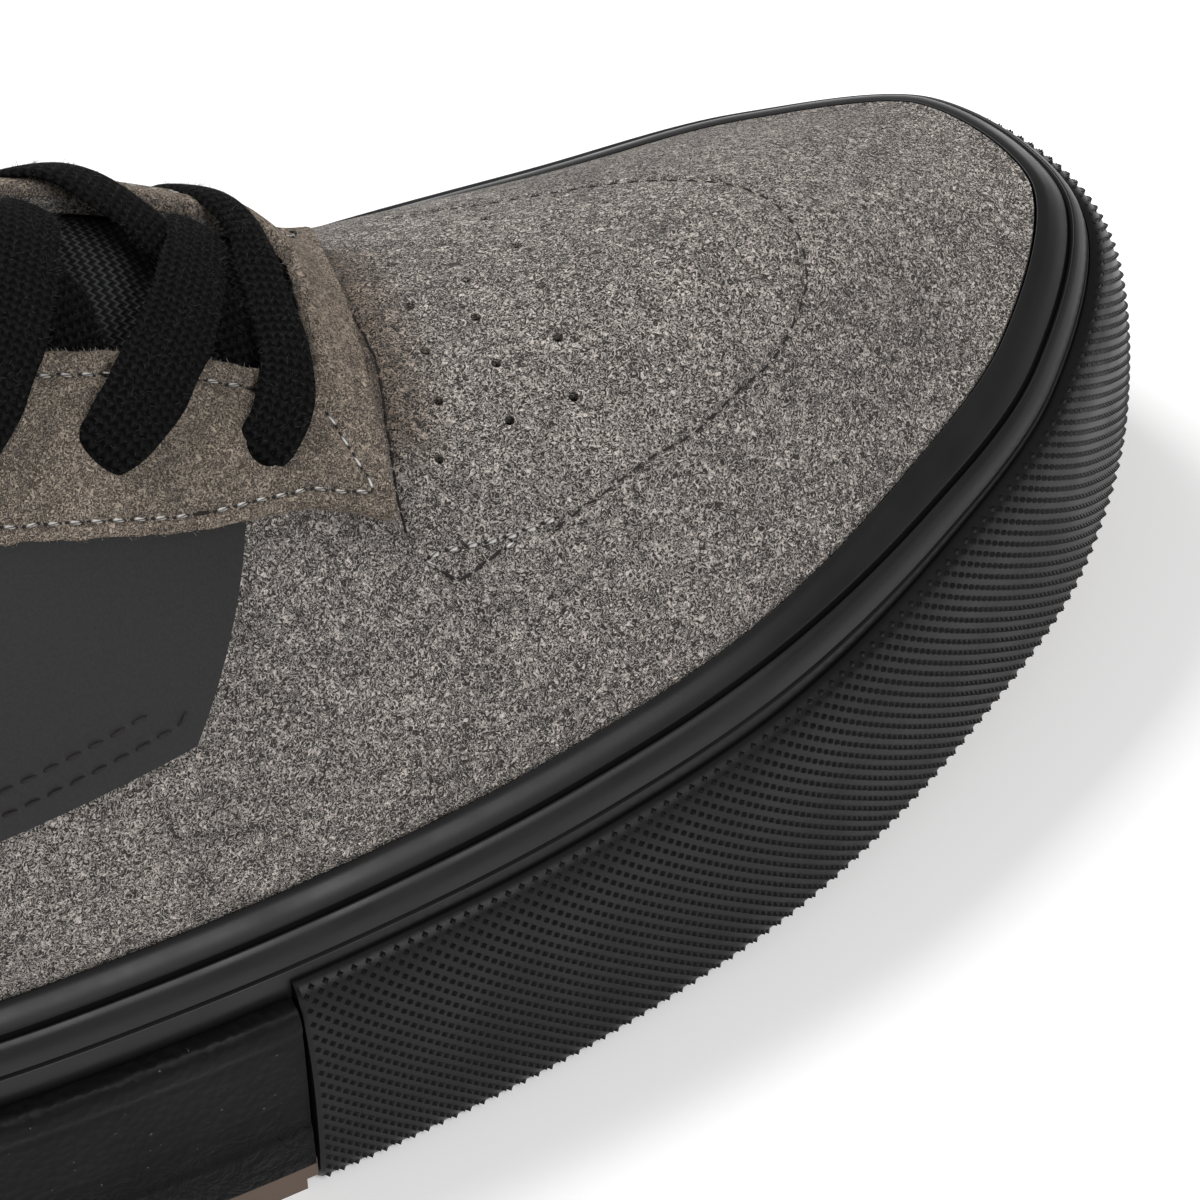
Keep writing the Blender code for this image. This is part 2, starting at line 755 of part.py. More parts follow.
def build_side_panels():
    """A plain straight-edged panel on each side, tucked against the eyestay's lower edge."""
    table = np.array(SIDE_PANEL) * (SOLE_LENGTH, WELT_HEIGHT)
    clear = prism("eyestay_clear", eyestay_outline(GAP), 0, 2 * INSTEP_HEIGHT)
    for name, low, high in (
        ("side_panel_outer", -SOLE_WIDTH, 0.0),
        ("side_panel_inner", 0.0, SOLE_WIDTH),
    ):
        panel = dome_shell(name, GAP, GAP + PANEL, 1, PANEL_LEATHER)
        side = prism(name + "_shape", table, low, high, axis=1)
        cut(panel, side, "INTERSECT")
        cut(panel, clear)


def tongue_outline(margin=0.0):
    """The tongue in plan, wide at its free end and narrower under the vamp."""
    front = THROAT_FRONT + FRONT_BAR
    shares = np.linspace(0, 1, 8)
    alongs = front - shares * TONGUE_LENGTH
    half = TONGUE_WIDTH / 2 * (0.72 + 0.28 * np.sin(np.pi / 2 * shares))
    centre = ridge_across(alongs)
    sides = []
    for sign in (-1, 1):
        side = [
            walk_out(along, middle, sign, reach) + sign * margin
            for along, middle, reach in zip(alongs, centre, half)
        ]
        sides.append(np.column_stack([alongs, side]))
    tip_reach = 0.7 * (sides[1][-1, 1] - sides[0][-1, 1]) / 2
    tip = [(alongs[-1] - 4 * MM - margin, centre[-1] + sign * tip_reach) for sign in (-1, 1)]
    return np.vstack([sides[0], tip, sides[1][::-1]])


def build_tongue():
    """The padded tongue under the lace opening, which rises above the collar."""
    outer = -WALL - GAP
    tongue = dome_shell("tongue", outer - TONGUE_THICKNESS, outer, 2, TEXTILE)
    plan = prism("tongue_plan", tongue_outline(), WELT_HEIGHT, 2 * INSTEP_HEIGHT)
    cut(tongue, plan, "INTERSECT")


def build_collar():
    """The padded cuff inside the ankle opening, standing a little above the suede."""
    outer = -WALL - GAP
    collar = dome_shell("collar", outer - COLLAR_PAD, outer, 1, TEXTILE)
    top = collar_profile(COLLAR_RISE)
    bottom = collar_profile(-COLLAR_DEPTH)
    reach = COLLAR_LINE[-2][0] * SOLE_LENGTH
    top = top[top[:, 0] < reach]
    bottom = bottom[bottom[:, 0] < reach]
    outline = np.vstack([top, bottom[::-1]])
    cut(collar, prism("collar_band", outline, -SOLE_WIDTH, SOLE_WIDTH, axis=1), "INTERSECT")
    clear = prism("tongue_clear", tongue_outline(2 * GAP), 0, 2 * INSTEP_HEIGHT)
    cut(collar, clear)


def lace_strand(name, start, end, rise, thickness, material, collection):
    """One flat run of lace over the facings and the opening, following the upper's form."""
    steps = LACE_STEPS
    middle = 2 * GAP + OVERLAY + rise + thickness / 2
    places = [np.array(start) + (np.array(end) - start) * k / steps for k in range(steps + 1)]
    centres = []
    normals = []
    for along, across in places:
        point, normal = on_dome(along, across, middle)
        centres.append(point)
        normals.append(normal)
    centres = np.array(centres)
    normals = np.array(normals)
    smooth = normals.copy()
    smooth[1:-1] = normals[:-2] + normals[1:-1] + normals[2:]
    smooth /= np.linalg.norm(smooth, axis=1)[:, None]
    heading = np.gradient(centres, axis=0)
    sideways = np.cross(heading, smooth)
    sideways /= np.linalg.norm(sideways, axis=1)[:, None]
    points = []
    for centre, normal, side in zip(centres, smooth, sideways):
        for across, up in ((-1, -1), (1, -1), (1, 1), (-1, 1)):
            offset = side * across * LACE_WIDTH / 2 + normal * up * thickness / 2
            points.append(centre + offset)
    faces = [(0, 1, 2, 3), tuple(4 * steps + k for k in (3, 2, 1, 0))]
    for step in range(steps):
        for k in range(4):
            m = (k + 1) % 4
            faces.append((4 * step + k, 4 * step + m, 4 * step + 4 + m, 4 * step + 4 + k))
    return new_piece(name, points, faces, material, collection)


def build_laces():
    """The first bar straight across, then one crossing for each further pair of holes."""
    holes = eyelet_places()
    lace_strand("lace_bar", holes[0][0], holes[0][1], 0.0, LACE_THICKNESS, TEXTILE, SHOE)
    rise = 0.35 * LACE_THICKNESS
    pressed = 0.80 * LACE_THICKNESS
    for pair in range(1, EYELET_PAIRS):
        ends = []
        for side in (0, 1):
            hole = holes[pair][side]
            along = hole[0] + 0.6 * EYELET_PITCH
            reach = float(throat_half_width(along)) - LACE_WIDTH / 4
            sign = 1 if side == 0 else -1
            ends.append((hole, (along, float(ridge_across(along)[0]) + sign * reach)))
        crossing = lace_strand(
            f"lace_crossing_{pair}", *ends[0], rise, LACE_THICKNESS, TEXTILE, SHOE
        )
        other = lace_strand(f"lace_under_{pair}", *ends[1], 0.0, pressed, None, CUTTERS)
        cut(crossing, other, "UNION")


def build_shoe():
    build_outsole()
    build_midsole()
    build_insole()
    build_foxing()
    build_toe_bumper()
    build_rand()
    collar_cutter = above_collar("above_collar")
    throat_cutter = prism(
        "lace_opening", throat_outline(), 1.2 * WELT_HEIGHT, 2 * INSTEP_HEIGHT
    )
    pins = eyelet_cutter()
    build_upper(collar_cutter, throat_cutter, pins)
    build_eyestay(collar_cutter, throat_cutter, pins)
    build_side_panels()
    build_tongue()
    build_collar()
    build_laces()


build_shoe()
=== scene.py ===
"""Looks of a low lace-up suede skateboarding shoe for the right foot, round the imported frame.

+X runs from heel to toe, +Y to the inner side of the foot and +Z up. Forms are worked out in the
sole's own frame, whose zero is the heel's tip, and moved to the part's frame when a mesh is made.
Lengths are in metres.
"""

import math

import bmesh
import bpy
import numpy as np
from mathutils import Matrix, Vector
from mathutils.bvhtree import BVHTree
from mathutils.kdtree import KDTree


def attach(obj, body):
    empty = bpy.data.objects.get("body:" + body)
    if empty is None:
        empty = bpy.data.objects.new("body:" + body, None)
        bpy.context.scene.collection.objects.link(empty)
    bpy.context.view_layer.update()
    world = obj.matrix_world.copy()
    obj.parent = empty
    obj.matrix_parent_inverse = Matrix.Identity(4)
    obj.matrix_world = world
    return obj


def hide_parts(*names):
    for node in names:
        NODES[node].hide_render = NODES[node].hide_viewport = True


MM = 0.001

# The photo's camera
AZIMUTH = math.radians(21.47)
ELEVATION = math.radians(48.37)
ROLL = math.radians(-2.86)
CAMERA_DISTANCE = 907.2 * MM
CAMERA_TARGET = (0.0335, -0.12223, 0.162)
FOCAL_LENGTH = 304.24

# Sizes that the solids have too
SOLE_LENGTH = 300 * MM
SOLE_WIDTH = 110 * MM
SOLE_ORIGIN = (0.15, -0.00276469)
TOE_SPRING = 10.8 * MM
SPRING_START = 0.65
FOOTBED_HEIGHT = 12.0 * MM
OUTSOLE_THICKNESS = 4.5 * MM
TAPE_THICKNESS = 4.1 * MM
BUMPER_START = 0.575
WELT_HEIGHT = 37.4 * MM
WELT_INSET = 10.4 * MM
WELT_TOE_DROP = 4.2 * MM
HEEL_EASE = 2.8 * MM
EASE_START = 0.48
WALL = 2.0 * MM
OVERLAY = 1.4 * MM
PANEL = 0.9 * MM
TONGUE_THICKNESS = 5.0 * MM
TONGUE_LENGTH = 112.0 * MM
TONGUE_WIDTH = 58.0 * MM
INSTEP_HEIGHT = 130.0 * MM
THROAT_FRONT = 201.0 * MM
THROAT_LENGTH = 90.0 * MM
THROAT_BACK = THROAT_FRONT - 1.25 * THROAT_LENGTH
THROAT_WIDTH = 20.0 * MM
THROAT_CORNER = 4.0 * MM
THROAT_SLANT = 0.2
FACING_TAPER = 28.0 * MM
FRONT_BAR = 5.0 * MM
COLLAR_HEIGHT = 80.0 * MM
EYELET_PAIRS = 5
EYELET_PITCH = 17.6 * MM
EYELET_WIDTH = 4.6 * MM
EYELET_SETBACK = 11.5 * MM
EYELET_EDGE = 9.5 * MM
LACE_WIDTH = 6.4 * MM
LACE_THICKNESS = 1.4 * MM
GAP = 0.3 * MM

# Sizes of what the scene adds. The bumper's joint is a share of half the outline
SEAM_STEP = 0.4 * MM
CUTTER_DEPTH = 12 * MM
PERFORATION_RADIUS = 0.58 * MM
BUMPER_JOINT = 0.0006
TAPE_FOOT = 1.05 * MM
TAPE_LIP = 0.9 * MM
STUD_PITCH = 1.70 * MM
STUD_ROWS = 0.86 * MM
STUD_HEIGHT = 0.43 * MM
STUD_MARGIN = 0.6 * MM
STUDS_LOW = 0.7 * MM
STUDS_TOP = 0.9 * MM
ROW_OUT = 1.75 * MM
ROW_IN = 2.7 * MM
ROW_FRONT = 202.2 * MM
STITCH_DEPTH = 0.30 * MM
STITCH_CHANNEL = (0.34 * MM, 0.55 * MM)
CUT_EDGE_DROP = 0.5 * MM
CUT_EDGE_WIDTH = 0.7 * MM
EYESTAY_LIFT = 0.12 * MM
EYESTAY_BACK = THROAT_BACK + 14 * MM
EYESTAY_CORNER = 0.9 * MM
SEAM_CHANNELS = {"toe": (0.28 * MM, 0.5 * MM), "front": (0.65 * MM, 0.55 * MM)}
SEAM_THREADS = {"toe": 0.26 * MM, "front": 0.58 * MM}
THROAT_CUT_LOW = 1.2 * WELT_HEIGHT
OVER_ALL = 2 * INSTEP_HEIGHT
PANEL_LIFT = 0.15 * MM
PANEL_ROWS = (1.9 * MM, 4.2 * MM)
PANEL_TOP = 68 * MM
PANEL_SLOPE = 0.34
LINING = 0.5 * MM
LINING_LOW = FOOTBED_HEIGHT + 11.0 * MM
CUFF_DEPTH = 26.0 * MM
CUFF_TAPER = 22 * MM
YARN_WIDTH = 1.05 * MM
TONGUE_GRID = (60, 41)
TONGUE_SOFT_EDGE = 4 * MM
TONGUE_RIB = 0.35 * MM
LACE_FIBRES = 1500
LACE_FIBRE_SIZE = (0.65 * MM, 0.05 * MM)
EDGE_FIBRES = 2600
EDGE_FIBRE_SIZE = (0.5 * MM, 0.07 * MM)

OUTER_EDGE = (
    # along, across
    (0.000, 0.000), (0.035, -0.200), (0.115, -0.325), (0.200, -0.358), (0.290, -0.395),
    (0.370, -0.464), (0.455, -0.504), (0.545, -0.506), (0.630, -0.488), (0.717, -0.450),
    (0.800, -0.389), (0.880, -0.281), (0.948, -0.150), (0.9965, 0.072),
)
INNER_EDGE = (
    # along, across
    (0.967, 0.300), (0.893, 0.395), (0.810, 0.429), (0.720, 0.456), (0.635, 0.453), (0.550, 0.408),
    (0.465, 0.347), (0.380, 0.315), (0.290, 0.318), (0.205, 0.335), (0.118, 0.318), (0.035, 0.200),
)
RIDGE = (
    # way, along, across, height, fullness
    (0.00, 0.180, 0.000, 0.985, 0.62), (0.15, 0.235, 0.000, 1.000, 0.60),
    (0.30, 0.330, 0.000, 0.940, 0.60), (0.42, 0.440, 0.012, 0.792, 0.60),
    (0.54, 0.560, 0.030, 0.666, 0.66), (0.60, 0.615, 0.032, 0.592, 0.72),
    (0.64, 0.652, 0.022, 0.536, 0.80), (0.68, 0.685, 0.005, 0.498, 0.88),
    (0.74, 0.722, -0.012, 0.483, 0.95), (0.84, 0.760, -0.021, 0.480, 1.08),
    (0.93, 0.784, -0.0185, 0.478, 1.30), (1.00, 0.800, -0.0115, 0.476, 1.50),
)
COLLAR_LINE = (
    # along, height
    (-0.020, 0.975), (0.060, 0.980), (0.110, 0.900), (0.160, 0.812), (0.215, 0.775),
    (0.270, 0.810), (0.320, 0.940), (0.355, 1.120), (0.375, 1.320), (0.385, 1.700),
)
SIDE_PANEL = (
    # along, height
    (0.625, 1.900), (0.575, 1.520), (0.365, 1.520), (0.415, 2.800), (0.625, 2.800),
)

# The corners that a panel's stitch rows follow, and the way in from each
PANEL_ROW = ((4, (-1, 0)), (0, (-1, 0)), (1, (-0.7, 1)), (2, (0.8, 1)), (3, (1, 0)))

# How far the instep stands over the plain form: places beside the ridge and heights, in mm
SWELL_ACROSS = (
    (-26, -17, -10, 0, 7, 12, 16, 21, 27), (0.0, 0.9, 2.4, 4.6, 6.6, 7.6, 6.4, 3.0, 0.0),
)
SWELL_FRONT = 208 * MM
SWELL_RISE = 10 * MM
SWELL_BACK = 108 * MM
SWELL_FALL = 50 * MM

# Places on the vamp, in millimetres along and across from the heel's tip
HOLE_ROWS = (
    ((209.3, -15.7), (218.2, -13.6), (225.8, -12.9)),
    ((211.9, -9.6), (219.5, -7.2), (226.9, -6.4)),
    ((213.1, -3.3), (220.0, -0.6), (228.1, 0.9)),
    ((214.2, 3.5), (221.4, 5.4), (228.6, 8.8)),
    ((215.4, 11.6), (221.8, 13.3), (228.3, 17.0)),
)
TOE_SEAM = (
    (218.7, -24.0), (224.6, -22.2), (230.8, -20.0), (237.3, -18.2), (243.2, -15.3), (248.8, -12.5),
    (253.4, -8.6), (256.0, -5.4), (257.3, -1.6), (257.3, 2.5), (256.0, 6.6), (253.0, 10.4),
    (248.0, 14.3), (242.0, 17.4), (236.0, 20.0), (229.5, 22.4), (223.5, 24.4), (217.5, 26.0),
)
TACKS = {
    "top": (
        (219.1, -23.2), (217.1, -23.5), (214.8, -23.8), (211.7, -24.0), (208.7, -24.1), (205.6, -24.4),
        (203.4, -24.9),
    ),
    "end": ((203.4, -24.9), (204.8, -26.0), (206.4, -27.0)),
    "low": ((206.4, -27.0), (208.9, -26.1), (211.9, -25.0), (214.4, -24.4)),
}

# The eyestay: widths of the facing at places along, and its front stitch row beside the ridge
FACING_WIDTHS = (
    (102, 140, 157, 168, 183, 191, 198, 206), (17.5, 18.6, 19.5, 20.0, 19.2, 16.8, 14.4, 13.2),
)
FRONT_ROW = ((203.9, 19.9), (203.6, 18.9), (202.6, 17.0), (201.5, 14.8), (200.4, 12.6))
FRONT_SEAM = (
    (209.6, 20.0), (208.6, 12.0), (208.2, 4.4), (208.1, -0.8), (207.0, -6.5), (205.7, -10.9),
    (204.8, -14.3), (203.9, -17.4), (203.2, -20.2), (202.9, -22.5),
)

# Rows of thread: lengths in millimetres, the rest as shares
STITCHES = {
    # pitch, share of it that shows, radius, how deep the ends sit, share of light threads, wander
    "eyestay": (2.5, 0.86, 0.20, 0.1, 0.9, 0.8),
    "toe": (2.15, 0.62, 0.15, 0.2, 0.0, 0.8),
    "front": (2.3, 0.95, 0.15, 0.1, 0.0, 0.9),
    "tack_top": (2.1, 0.88, 0.27, 0.1, 0.9, 0.6),
    "tack_end": (2.1, 0.88, 0.20, 0.1, 0.2, 0.6),
    "tack_low": (2.1, 0.88, 0.20, 0.1, 0.1, 0.6),
    "panel": (2.6, 0.7, 0.24, 0.3, 0.0, 0.4),
}

# Sections of the rubber bands: insets and heights in millimetres, and the radii of their corners
WELT_SIDE = (
    (4.40, 29.0), (4.78, 31.20), (5.60, 31.42), (4.98, 31.72), (5.40, 33.10), (6.15, 34.40),
    (6.75, 34.95), (7.45, 34.05), (7.50, 35.18), (8.30, 36.20), (9.30, 37.00),
)
WELT_TOE = (
    (4.35, 29.6), (4.50, 30.50), (5.10, 30.65), (4.60, 30.90), (4.90, 32.20), (5.50, 33.30),
    (6.05, 33.90), (6.70, 33.05), (6.76, 34.18), (7.70, 35.60), (9.00, 36.90),
)
WELT_RADII = (0, 0, 0.6, 0.12, 0.08, 0.10, 0.6, 0.5, 0.22, 0.10, 0.22, 0.8, 0.6, 0.2, 0)
TAPE_SECTION = (
    (0.90, 6.4), (1.04, 9.6), (1.34, 10.1), (1.30, 16.0), (1.50, 23.4), (1.66, 24.3), (1.42, 25.2),
    (1.62, 26.7), (2.40, 27.8),
)
TAPE_TOP = 28.0 * MM
TAPE_RADII = (0, 0, 0, 0.15, 0.5, 0.3, 0.3, 1.5, 0.6, 0.4, 0.5, 0.8, 0.6, 0)
BUMPER_SECTION = (
    (1.35, 0.6), (0.75, 1.6), (0.35, 4.5), (0.20, 9.0), (0.22, 15.0), (0.55, 20.0), (1.15, 24.2),
    (2.05, 27.4), (3.05, 29.3), (3.60, 29.75), (4.30, 30.00),
)

# The cuff's section: rise over the collar line and depth inward, in millimetres
CUFF_SECTION = (
    (-26.0, 0.0), (-14.0, 0.0), (-5.0, 0.0), (-0.6, 0.0), (1.0, 0.3), (2.2, 0.9), (3.0, 1.8),
    (3.2, 2.7), (2.8, 3.6), (1.8, 4.4), (0.2, 4.9), (-2.0, 5.0), (-6.0, 4.9), (-11.0, 4.3),
    (-16.0, 3.3), (-20.0, 2.2), (-23.5, 1.2), (-25.2, 0.7), (-26.0, 0.5),
)

# Places along the painted shade of the fold in front of the eyestay, in metres from the middle of the
# sole
FOLD_SHADE_PLACES = (
    (0.0600, 0.0172, 0.0607), (0.0592, 0.0108, 0.0625), (0.0585, 0.0042, 0.0635),
    (0.0574, -0.0025, 0.0632), (0.0560, -0.0085, 0.0622),
)

# The strands at the two front pairs of holes: along, across, height over the upper and share of
# the lace's width
STRAND_BAR = (
    (188.0, -16.4, -2.6, 0.40), (188.3, -16.1, -0.2, 0.64), (189.3, -15.2, 1.7, 0.94),
    (191.3, -13.0, 2.7, 1.06), (193.6, -9.6, 3.0, 1.04), (195.0, -6.2, 3.0, 0.98),
    (195.7, -2.4, 2.8, 0.90), (196.3, 2.0, 2.7, 0.82), (196.9, 6.0, 2.6, 0.76),
    (197.1, 9.5, 2.4, 0.72), (196.6, 12.6, 2.1, 0.72), (195.2, 16.4, 1.7, 0.78),
    (192.8, 20.2, 1.2, 0.78), (190.2, 21.8, -2.2, 0.55),
)
STRAND_OVER = (
    (170.1, -17.9, -2.8, 0.36), (170.4, -17.5, -0.2, 0.66), (171.6, -16.5, 1.9, 0.98),
    (173.8, -14.6, 3.0, 1.26), (177.6, -11.2, 3.5, 1.38), (181.2, -7.5, 3.6, 1.38),
    (184.1, -4.2, 3.6, 1.32), (186.6, -0.4, 3.5, 1.26), (188.7, 3.0, 3.2, 1.18),
    (190.8, 6.4, 2.4, 1.08), (192.8, 9.6, 1.0, 1.00), (195.2, 13.6, -3.4, 0.90),
)
STRAND_UNDER = (
    (171.6, 21.7, -2.4, 0.55), (172.8, 20.0, 0.8, 0.95), (175.8, 17.4, 1.7, 1.02),
    (179.8, 14.4, 2.7, 1.06), (184.2, 10.8, 2.2, 1.08), (187.6, 7.2, 1.3, 1.02),
    (190.2, 2.6, 0.9, 1.00), (191.8, -1.6, 0.7, 1.00), (192.6, -5.4, -0.2, 0.96),
    (193.2, -9.4, -3.4, 0.90),
)

# Lights: name, place, size and power
LIGHTS = (
    ("softbox_back", (-0.35, 0.65, 1.1), 0.7, 17.5),
    ("softbox_front", (0.30, -0.85, 0.9), 0.5, 8.0),
)
LIGHT_AIM = (0.05, 0, 0.04)
FLOOR_HALF = 3.0

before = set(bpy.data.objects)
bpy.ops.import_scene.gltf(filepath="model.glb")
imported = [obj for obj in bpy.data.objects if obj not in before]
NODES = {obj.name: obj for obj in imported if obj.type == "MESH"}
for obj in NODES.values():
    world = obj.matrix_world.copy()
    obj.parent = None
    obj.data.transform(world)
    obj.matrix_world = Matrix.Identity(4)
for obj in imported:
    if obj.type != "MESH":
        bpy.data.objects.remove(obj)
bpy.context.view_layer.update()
CHANCE = np.random.default_rng(7)


# Lines and forms

def smooth_line(knots, values, at):
    """A smooth line through the values at the knots, read at the places asked for."""
    knots = np.asarray(knots, float)
    values = np.asarray(values, float).reshape(len(knots), -1)
    at = np.clip(np.atleast_1d(at), knots[0], knots[-1])
    widths = np.diff(knots)
    slopes = np.diff(values, axis=0) / widths[:, None]
    bends = np.empty_like(values)
    bends[0] = slopes[0]
    bends[-1] = slopes[-1]
    before = slopes[:-1] * widths[1:, None]
    after = slopes[1:] * widths[:-1, None]
    bends[1:-1] = (before + after) / (widths[1:] + widths[:-1])[:, None]
    index = np.clip(np.searchsorted(knots, at, side="right") - 1, 0, len(widths) - 1)
    width = widths[index][:, None]
    u = ((at - knots[index]) / widths[index])[:, None]
    start = (2 * u**3 - 3 * u**2 + 1) * values[index]
    start += (u**3 - 2 * u**2 + u) * width * bends[index]
    end = (3 * u**2 - 2 * u**3) * values[index + 1] + (u**3 - u**2) * width * bends[index + 1]
    return start + end


def lengths_along(points):
    return np.concatenate([[0.0], np.cumsum(np.linalg.norm(np.diff(points, axis=0), axis=1))])


def resample_to(points, count):
    lengths = lengths_along(points)
    return read_at(np.linspace(0, lengths[-1], count), lengths, points)


def unit(rows):
    """Vectors brought to length one."""
    return rows / np.linalg.norm(rows, axis=-1, keepdims=True)


def read_at(at, lengths, rows):
    """Rows along a line, read at other places on it."""
    return np.stack([np.interp(at, lengths, column) for column in rows.T], 1)


def resample(points, step):
    """Points at even steps along a line."""
    points = np.asarray(points, float)
    length = lengths_along(points)[-1]
    return resample_to(points, max(2, int(round(length / step)) + 1))


def curved(points, step):
    """A smooth line through points, at even steps."""
    points = np.asarray(points, float)
    lengths = lengths_along(points)
    fine = smooth_line(lengths, points, np.linspace(0, lengths[-1], 12 * len(points)))
    return resample(fine, step)


def edge_halves():
    """The sole's outline: each half's points, outward directions and shares of its length."""
    rows = np.array(OUTER_EDGE + INNER_EDGE) * (SOLE_LENGTH, SOLE_WIDTH)
    wrapped = np.vstack([rows[-3:], rows, rows[:4]])
    knots = lengths_along(wrapped)
    ends = (knots[3], knots[3 + len(OUTER_EDGE) - 1], knots[3 + len(rows)])
    halves = []
    for low, high in zip(ends, ends[1:]):
        places = np.linspace(low, high, 700)
        line = smooth_line(knots, wrapped, places)
        ahead = smooth_line(knots, wrapped, places + SEAM_STEP)
        heading = unit(ahead - smooth_line(knots, wrapped, places - SEAM_STEP))
        lengths = lengths_along(line)
        facing = np.stack([heading[:, 1], -heading[:, 0]], 1)
        halves.append((np.hstack([line, facing]), lengths / lengths[-1]))
    return halves


HALVES = edge_halves()


def edge_at(way):
    """Outline points and outward directions: way 0 is the heel, 1 the toe, 2 the heel again."""
    way = np.asarray(way, float) % 2
    rows = np.empty((len(way), 4))
    for half, (table, shares) in enumerate(HALVES):
        here = (way >= half) & (way < half + 1)
        rows[here] = read_at(way[here] - half, shares, table)
    return rows[:, :2], rows[:, 2:]


def lift(along, height):
    start = SPRING_START * SOLE_LENGTH
    share = np.clip((np.asarray(along) - start) / (SOLE_LENGTH - start), 0, None) ** 2
    return share * (TOE_SPRING - WELT_TOE_DROP * height / WELT_HEIGHT)


def ring_at(way, inset, height):
    """The outline drawn in by an inset, at a height that follows the toe spring."""
    line, facing = edge_at(way)
    tape = TAPE_THICKNESS + GAP
    share = np.clip((inset - tape) / (WELT_INSET - GAP - tape), 0, 1)
    behind = np.clip(1 - line[:, 0] / (EASE_START * SOLE_LENGTH), 0, 1)
    ease = HEEL_EASE * share * np.sin(np.pi / 2 * behind)
    plan = line - facing * (inset - ease)[:, None]
    return np.column_stack([plan, height + lift(line[:, 0], height)])


def dome_grid(ways, angles):
    """The upper's outer face: for each way a line from the footbed over the welt to the ridge."""
    station = np.where(ways > 1, 2 - ways, ways)
    rows = smooth_line([row[0] for row in RIDGE], [row[1:] for row in RIDGE], station)
    ridge = rows[:, :3] * (SOLE_LENGTH, SOLE_WIDTH, INSTEP_HEIGHT)
    fullness = rows[:, 3]
    base = ring_at(ways, WELT_INSET, WELT_HEIGHT)
    lines = [ring_at(ways, WELT_INSET, FOOTBED_HEIGHT + GAP)]
    for angle in np.radians(angles):
        out = math.cos(angle)
        up = math.sin(angle) ** (2 * fullness)
        plan = ridge[:, :2] + (base[:, :2] - ridge[:, :2]) * out
        lines.append(np.column_stack([plan, base[:, 2] + (ridge[:, 2] - base[:, 2]) * up]))
    return np.stack(lines, 1)


def grid_normals(rows):
    """Directions out of the dome at each point of a closed grid."""
    count = len(rows)
    along = np.roll(rows, -1, axis=0) - np.roll(rows, 1, axis=0)
    along[:, -1] = along[:, -2]
    steps = np.diff(rows, axis=1)
    faces = unit(np.cross((along[:, :-1] + along[:, 1:]) / 2, steps))
    normals = np.empty_like(rows)
    normals[:, 0] = faces[:, 0]
    normals[:, -1] = faces[:, -1]
    normals[:, 1:-1] = faces[:, :-1] + faces[:, 1:]
    twin = (count - np.arange(count)) % count
    normals[:, -1] = normals[:, -1] + normals[twin, -1]
    return unit(normals)


def ridge_across(along):
    table = np.array(RIDGE)
    return smooth_line(table[:, 1] * SOLE_LENGTH, table[:, 2] * SOLE_WIDTH, along)[:, 0]


def swell(along, across):
    """How far the tongue and the laces' pull lift the instep, most at the inner throat edge."""
    aside = np.asarray(across) - ridge_across(np.ravel(along)).reshape(np.shape(along))
    lifted = smooth_line(*SWELL_ACROSS, np.ravel(aside) / MM)[:, 0].reshape(np.shape(along))
    front = np.clip((SWELL_FRONT - along) / SWELL_RISE, 0, 1)
    back = np.clip((along - SWELL_BACK) / SWELL_FALL, 0, 1)
    fade = front**2 * (3 - 2 * front) * back**2 * (3 - 2 * back)
    return lifted * MM * fade


DOME_WAYS = np.linspace(0, 2, 440, endpoint=False)
DOME_ANGLES = np.concatenate([np.linspace(0, 12, 5)[:-1], np.linspace(12, 90, 38)])
DOME = dome_grid(DOME_WAYS, DOME_ANGLES)
DOME[..., 2] += swell(DOME[..., 0], DOME[..., 1])
DOME_OUT = grid_normals(DOME)
COLUMNS, HEIGHTS = DOME.shape[:2]


def dome_faces(first_row, start):
    def number(column, row):
        column %= COLUMNS
        if row == HEIGHTS - 1:
            column = min(column, COLUMNS - column)
        return start + column * HEIGHTS + row

    faces = []
    for column in range(COLUMNS):
        for row in range(first_row, HEIGHTS - 1):
            corners = (
                number(column, row),
                number(column + 1, row),
                number(column + 1, row + 1),
                number(column, row + 1),
            )
            faces.append(list(dict.fromkeys(corners)))
    return faces


# The upper read as heights over the plan, on an even grid

PLAN_STEP = 0.75 * MM
PLAN_X = np.arange(8 * MM, 296 * MM, PLAN_STEP)
PLAN_Y = np.arange(-52 * MM, 52 * MM, PLAN_STEP)


def height_field():
    tree = BVHTree.FromPolygons(DOME.reshape(-1, 3).tolist(), dome_faces(1, 0))
    down = Vector((0, 0, -1))
    field = np.full((len(PLAN_X), len(PLAN_Y)), WELT_HEIGHT)
    for i, along in enumerate(PLAN_X):
        for j, across in enumerate(PLAN_Y):
            place = tree.ray_cast(Vector((along, across, OVER_ALL)), down)[0]
            if place is not None:
                field[i, j] = place.z
    return field


FIELD = height_field()


def read_grid(table, rows, columns):
    """Values between a grid's points, at places counted in its rows and columns."""
    u = np.clip(rows, 0, table.shape[0] - 1.001)
    v = np.clip(columns, 0, table.shape[1] - 1.001)
    i, j = u.astype(int), v.astype(int)
    u, v = u - i, v - j
    close = table[i, j] * (1 - v) + table[i, j + 1] * v
    far = table[i + 1, j] * (1 - v) + table[i + 1, j + 1] * v
    return close * (1 - u) + far * u


def height(along, across):
    rows = (np.asarray(along) - PLAN_X[0]) / PLAN_STEP
    return read_grid(FIELD, rows, (np.asarray(across) - PLAN_Y[0]) / PLAN_STEP)


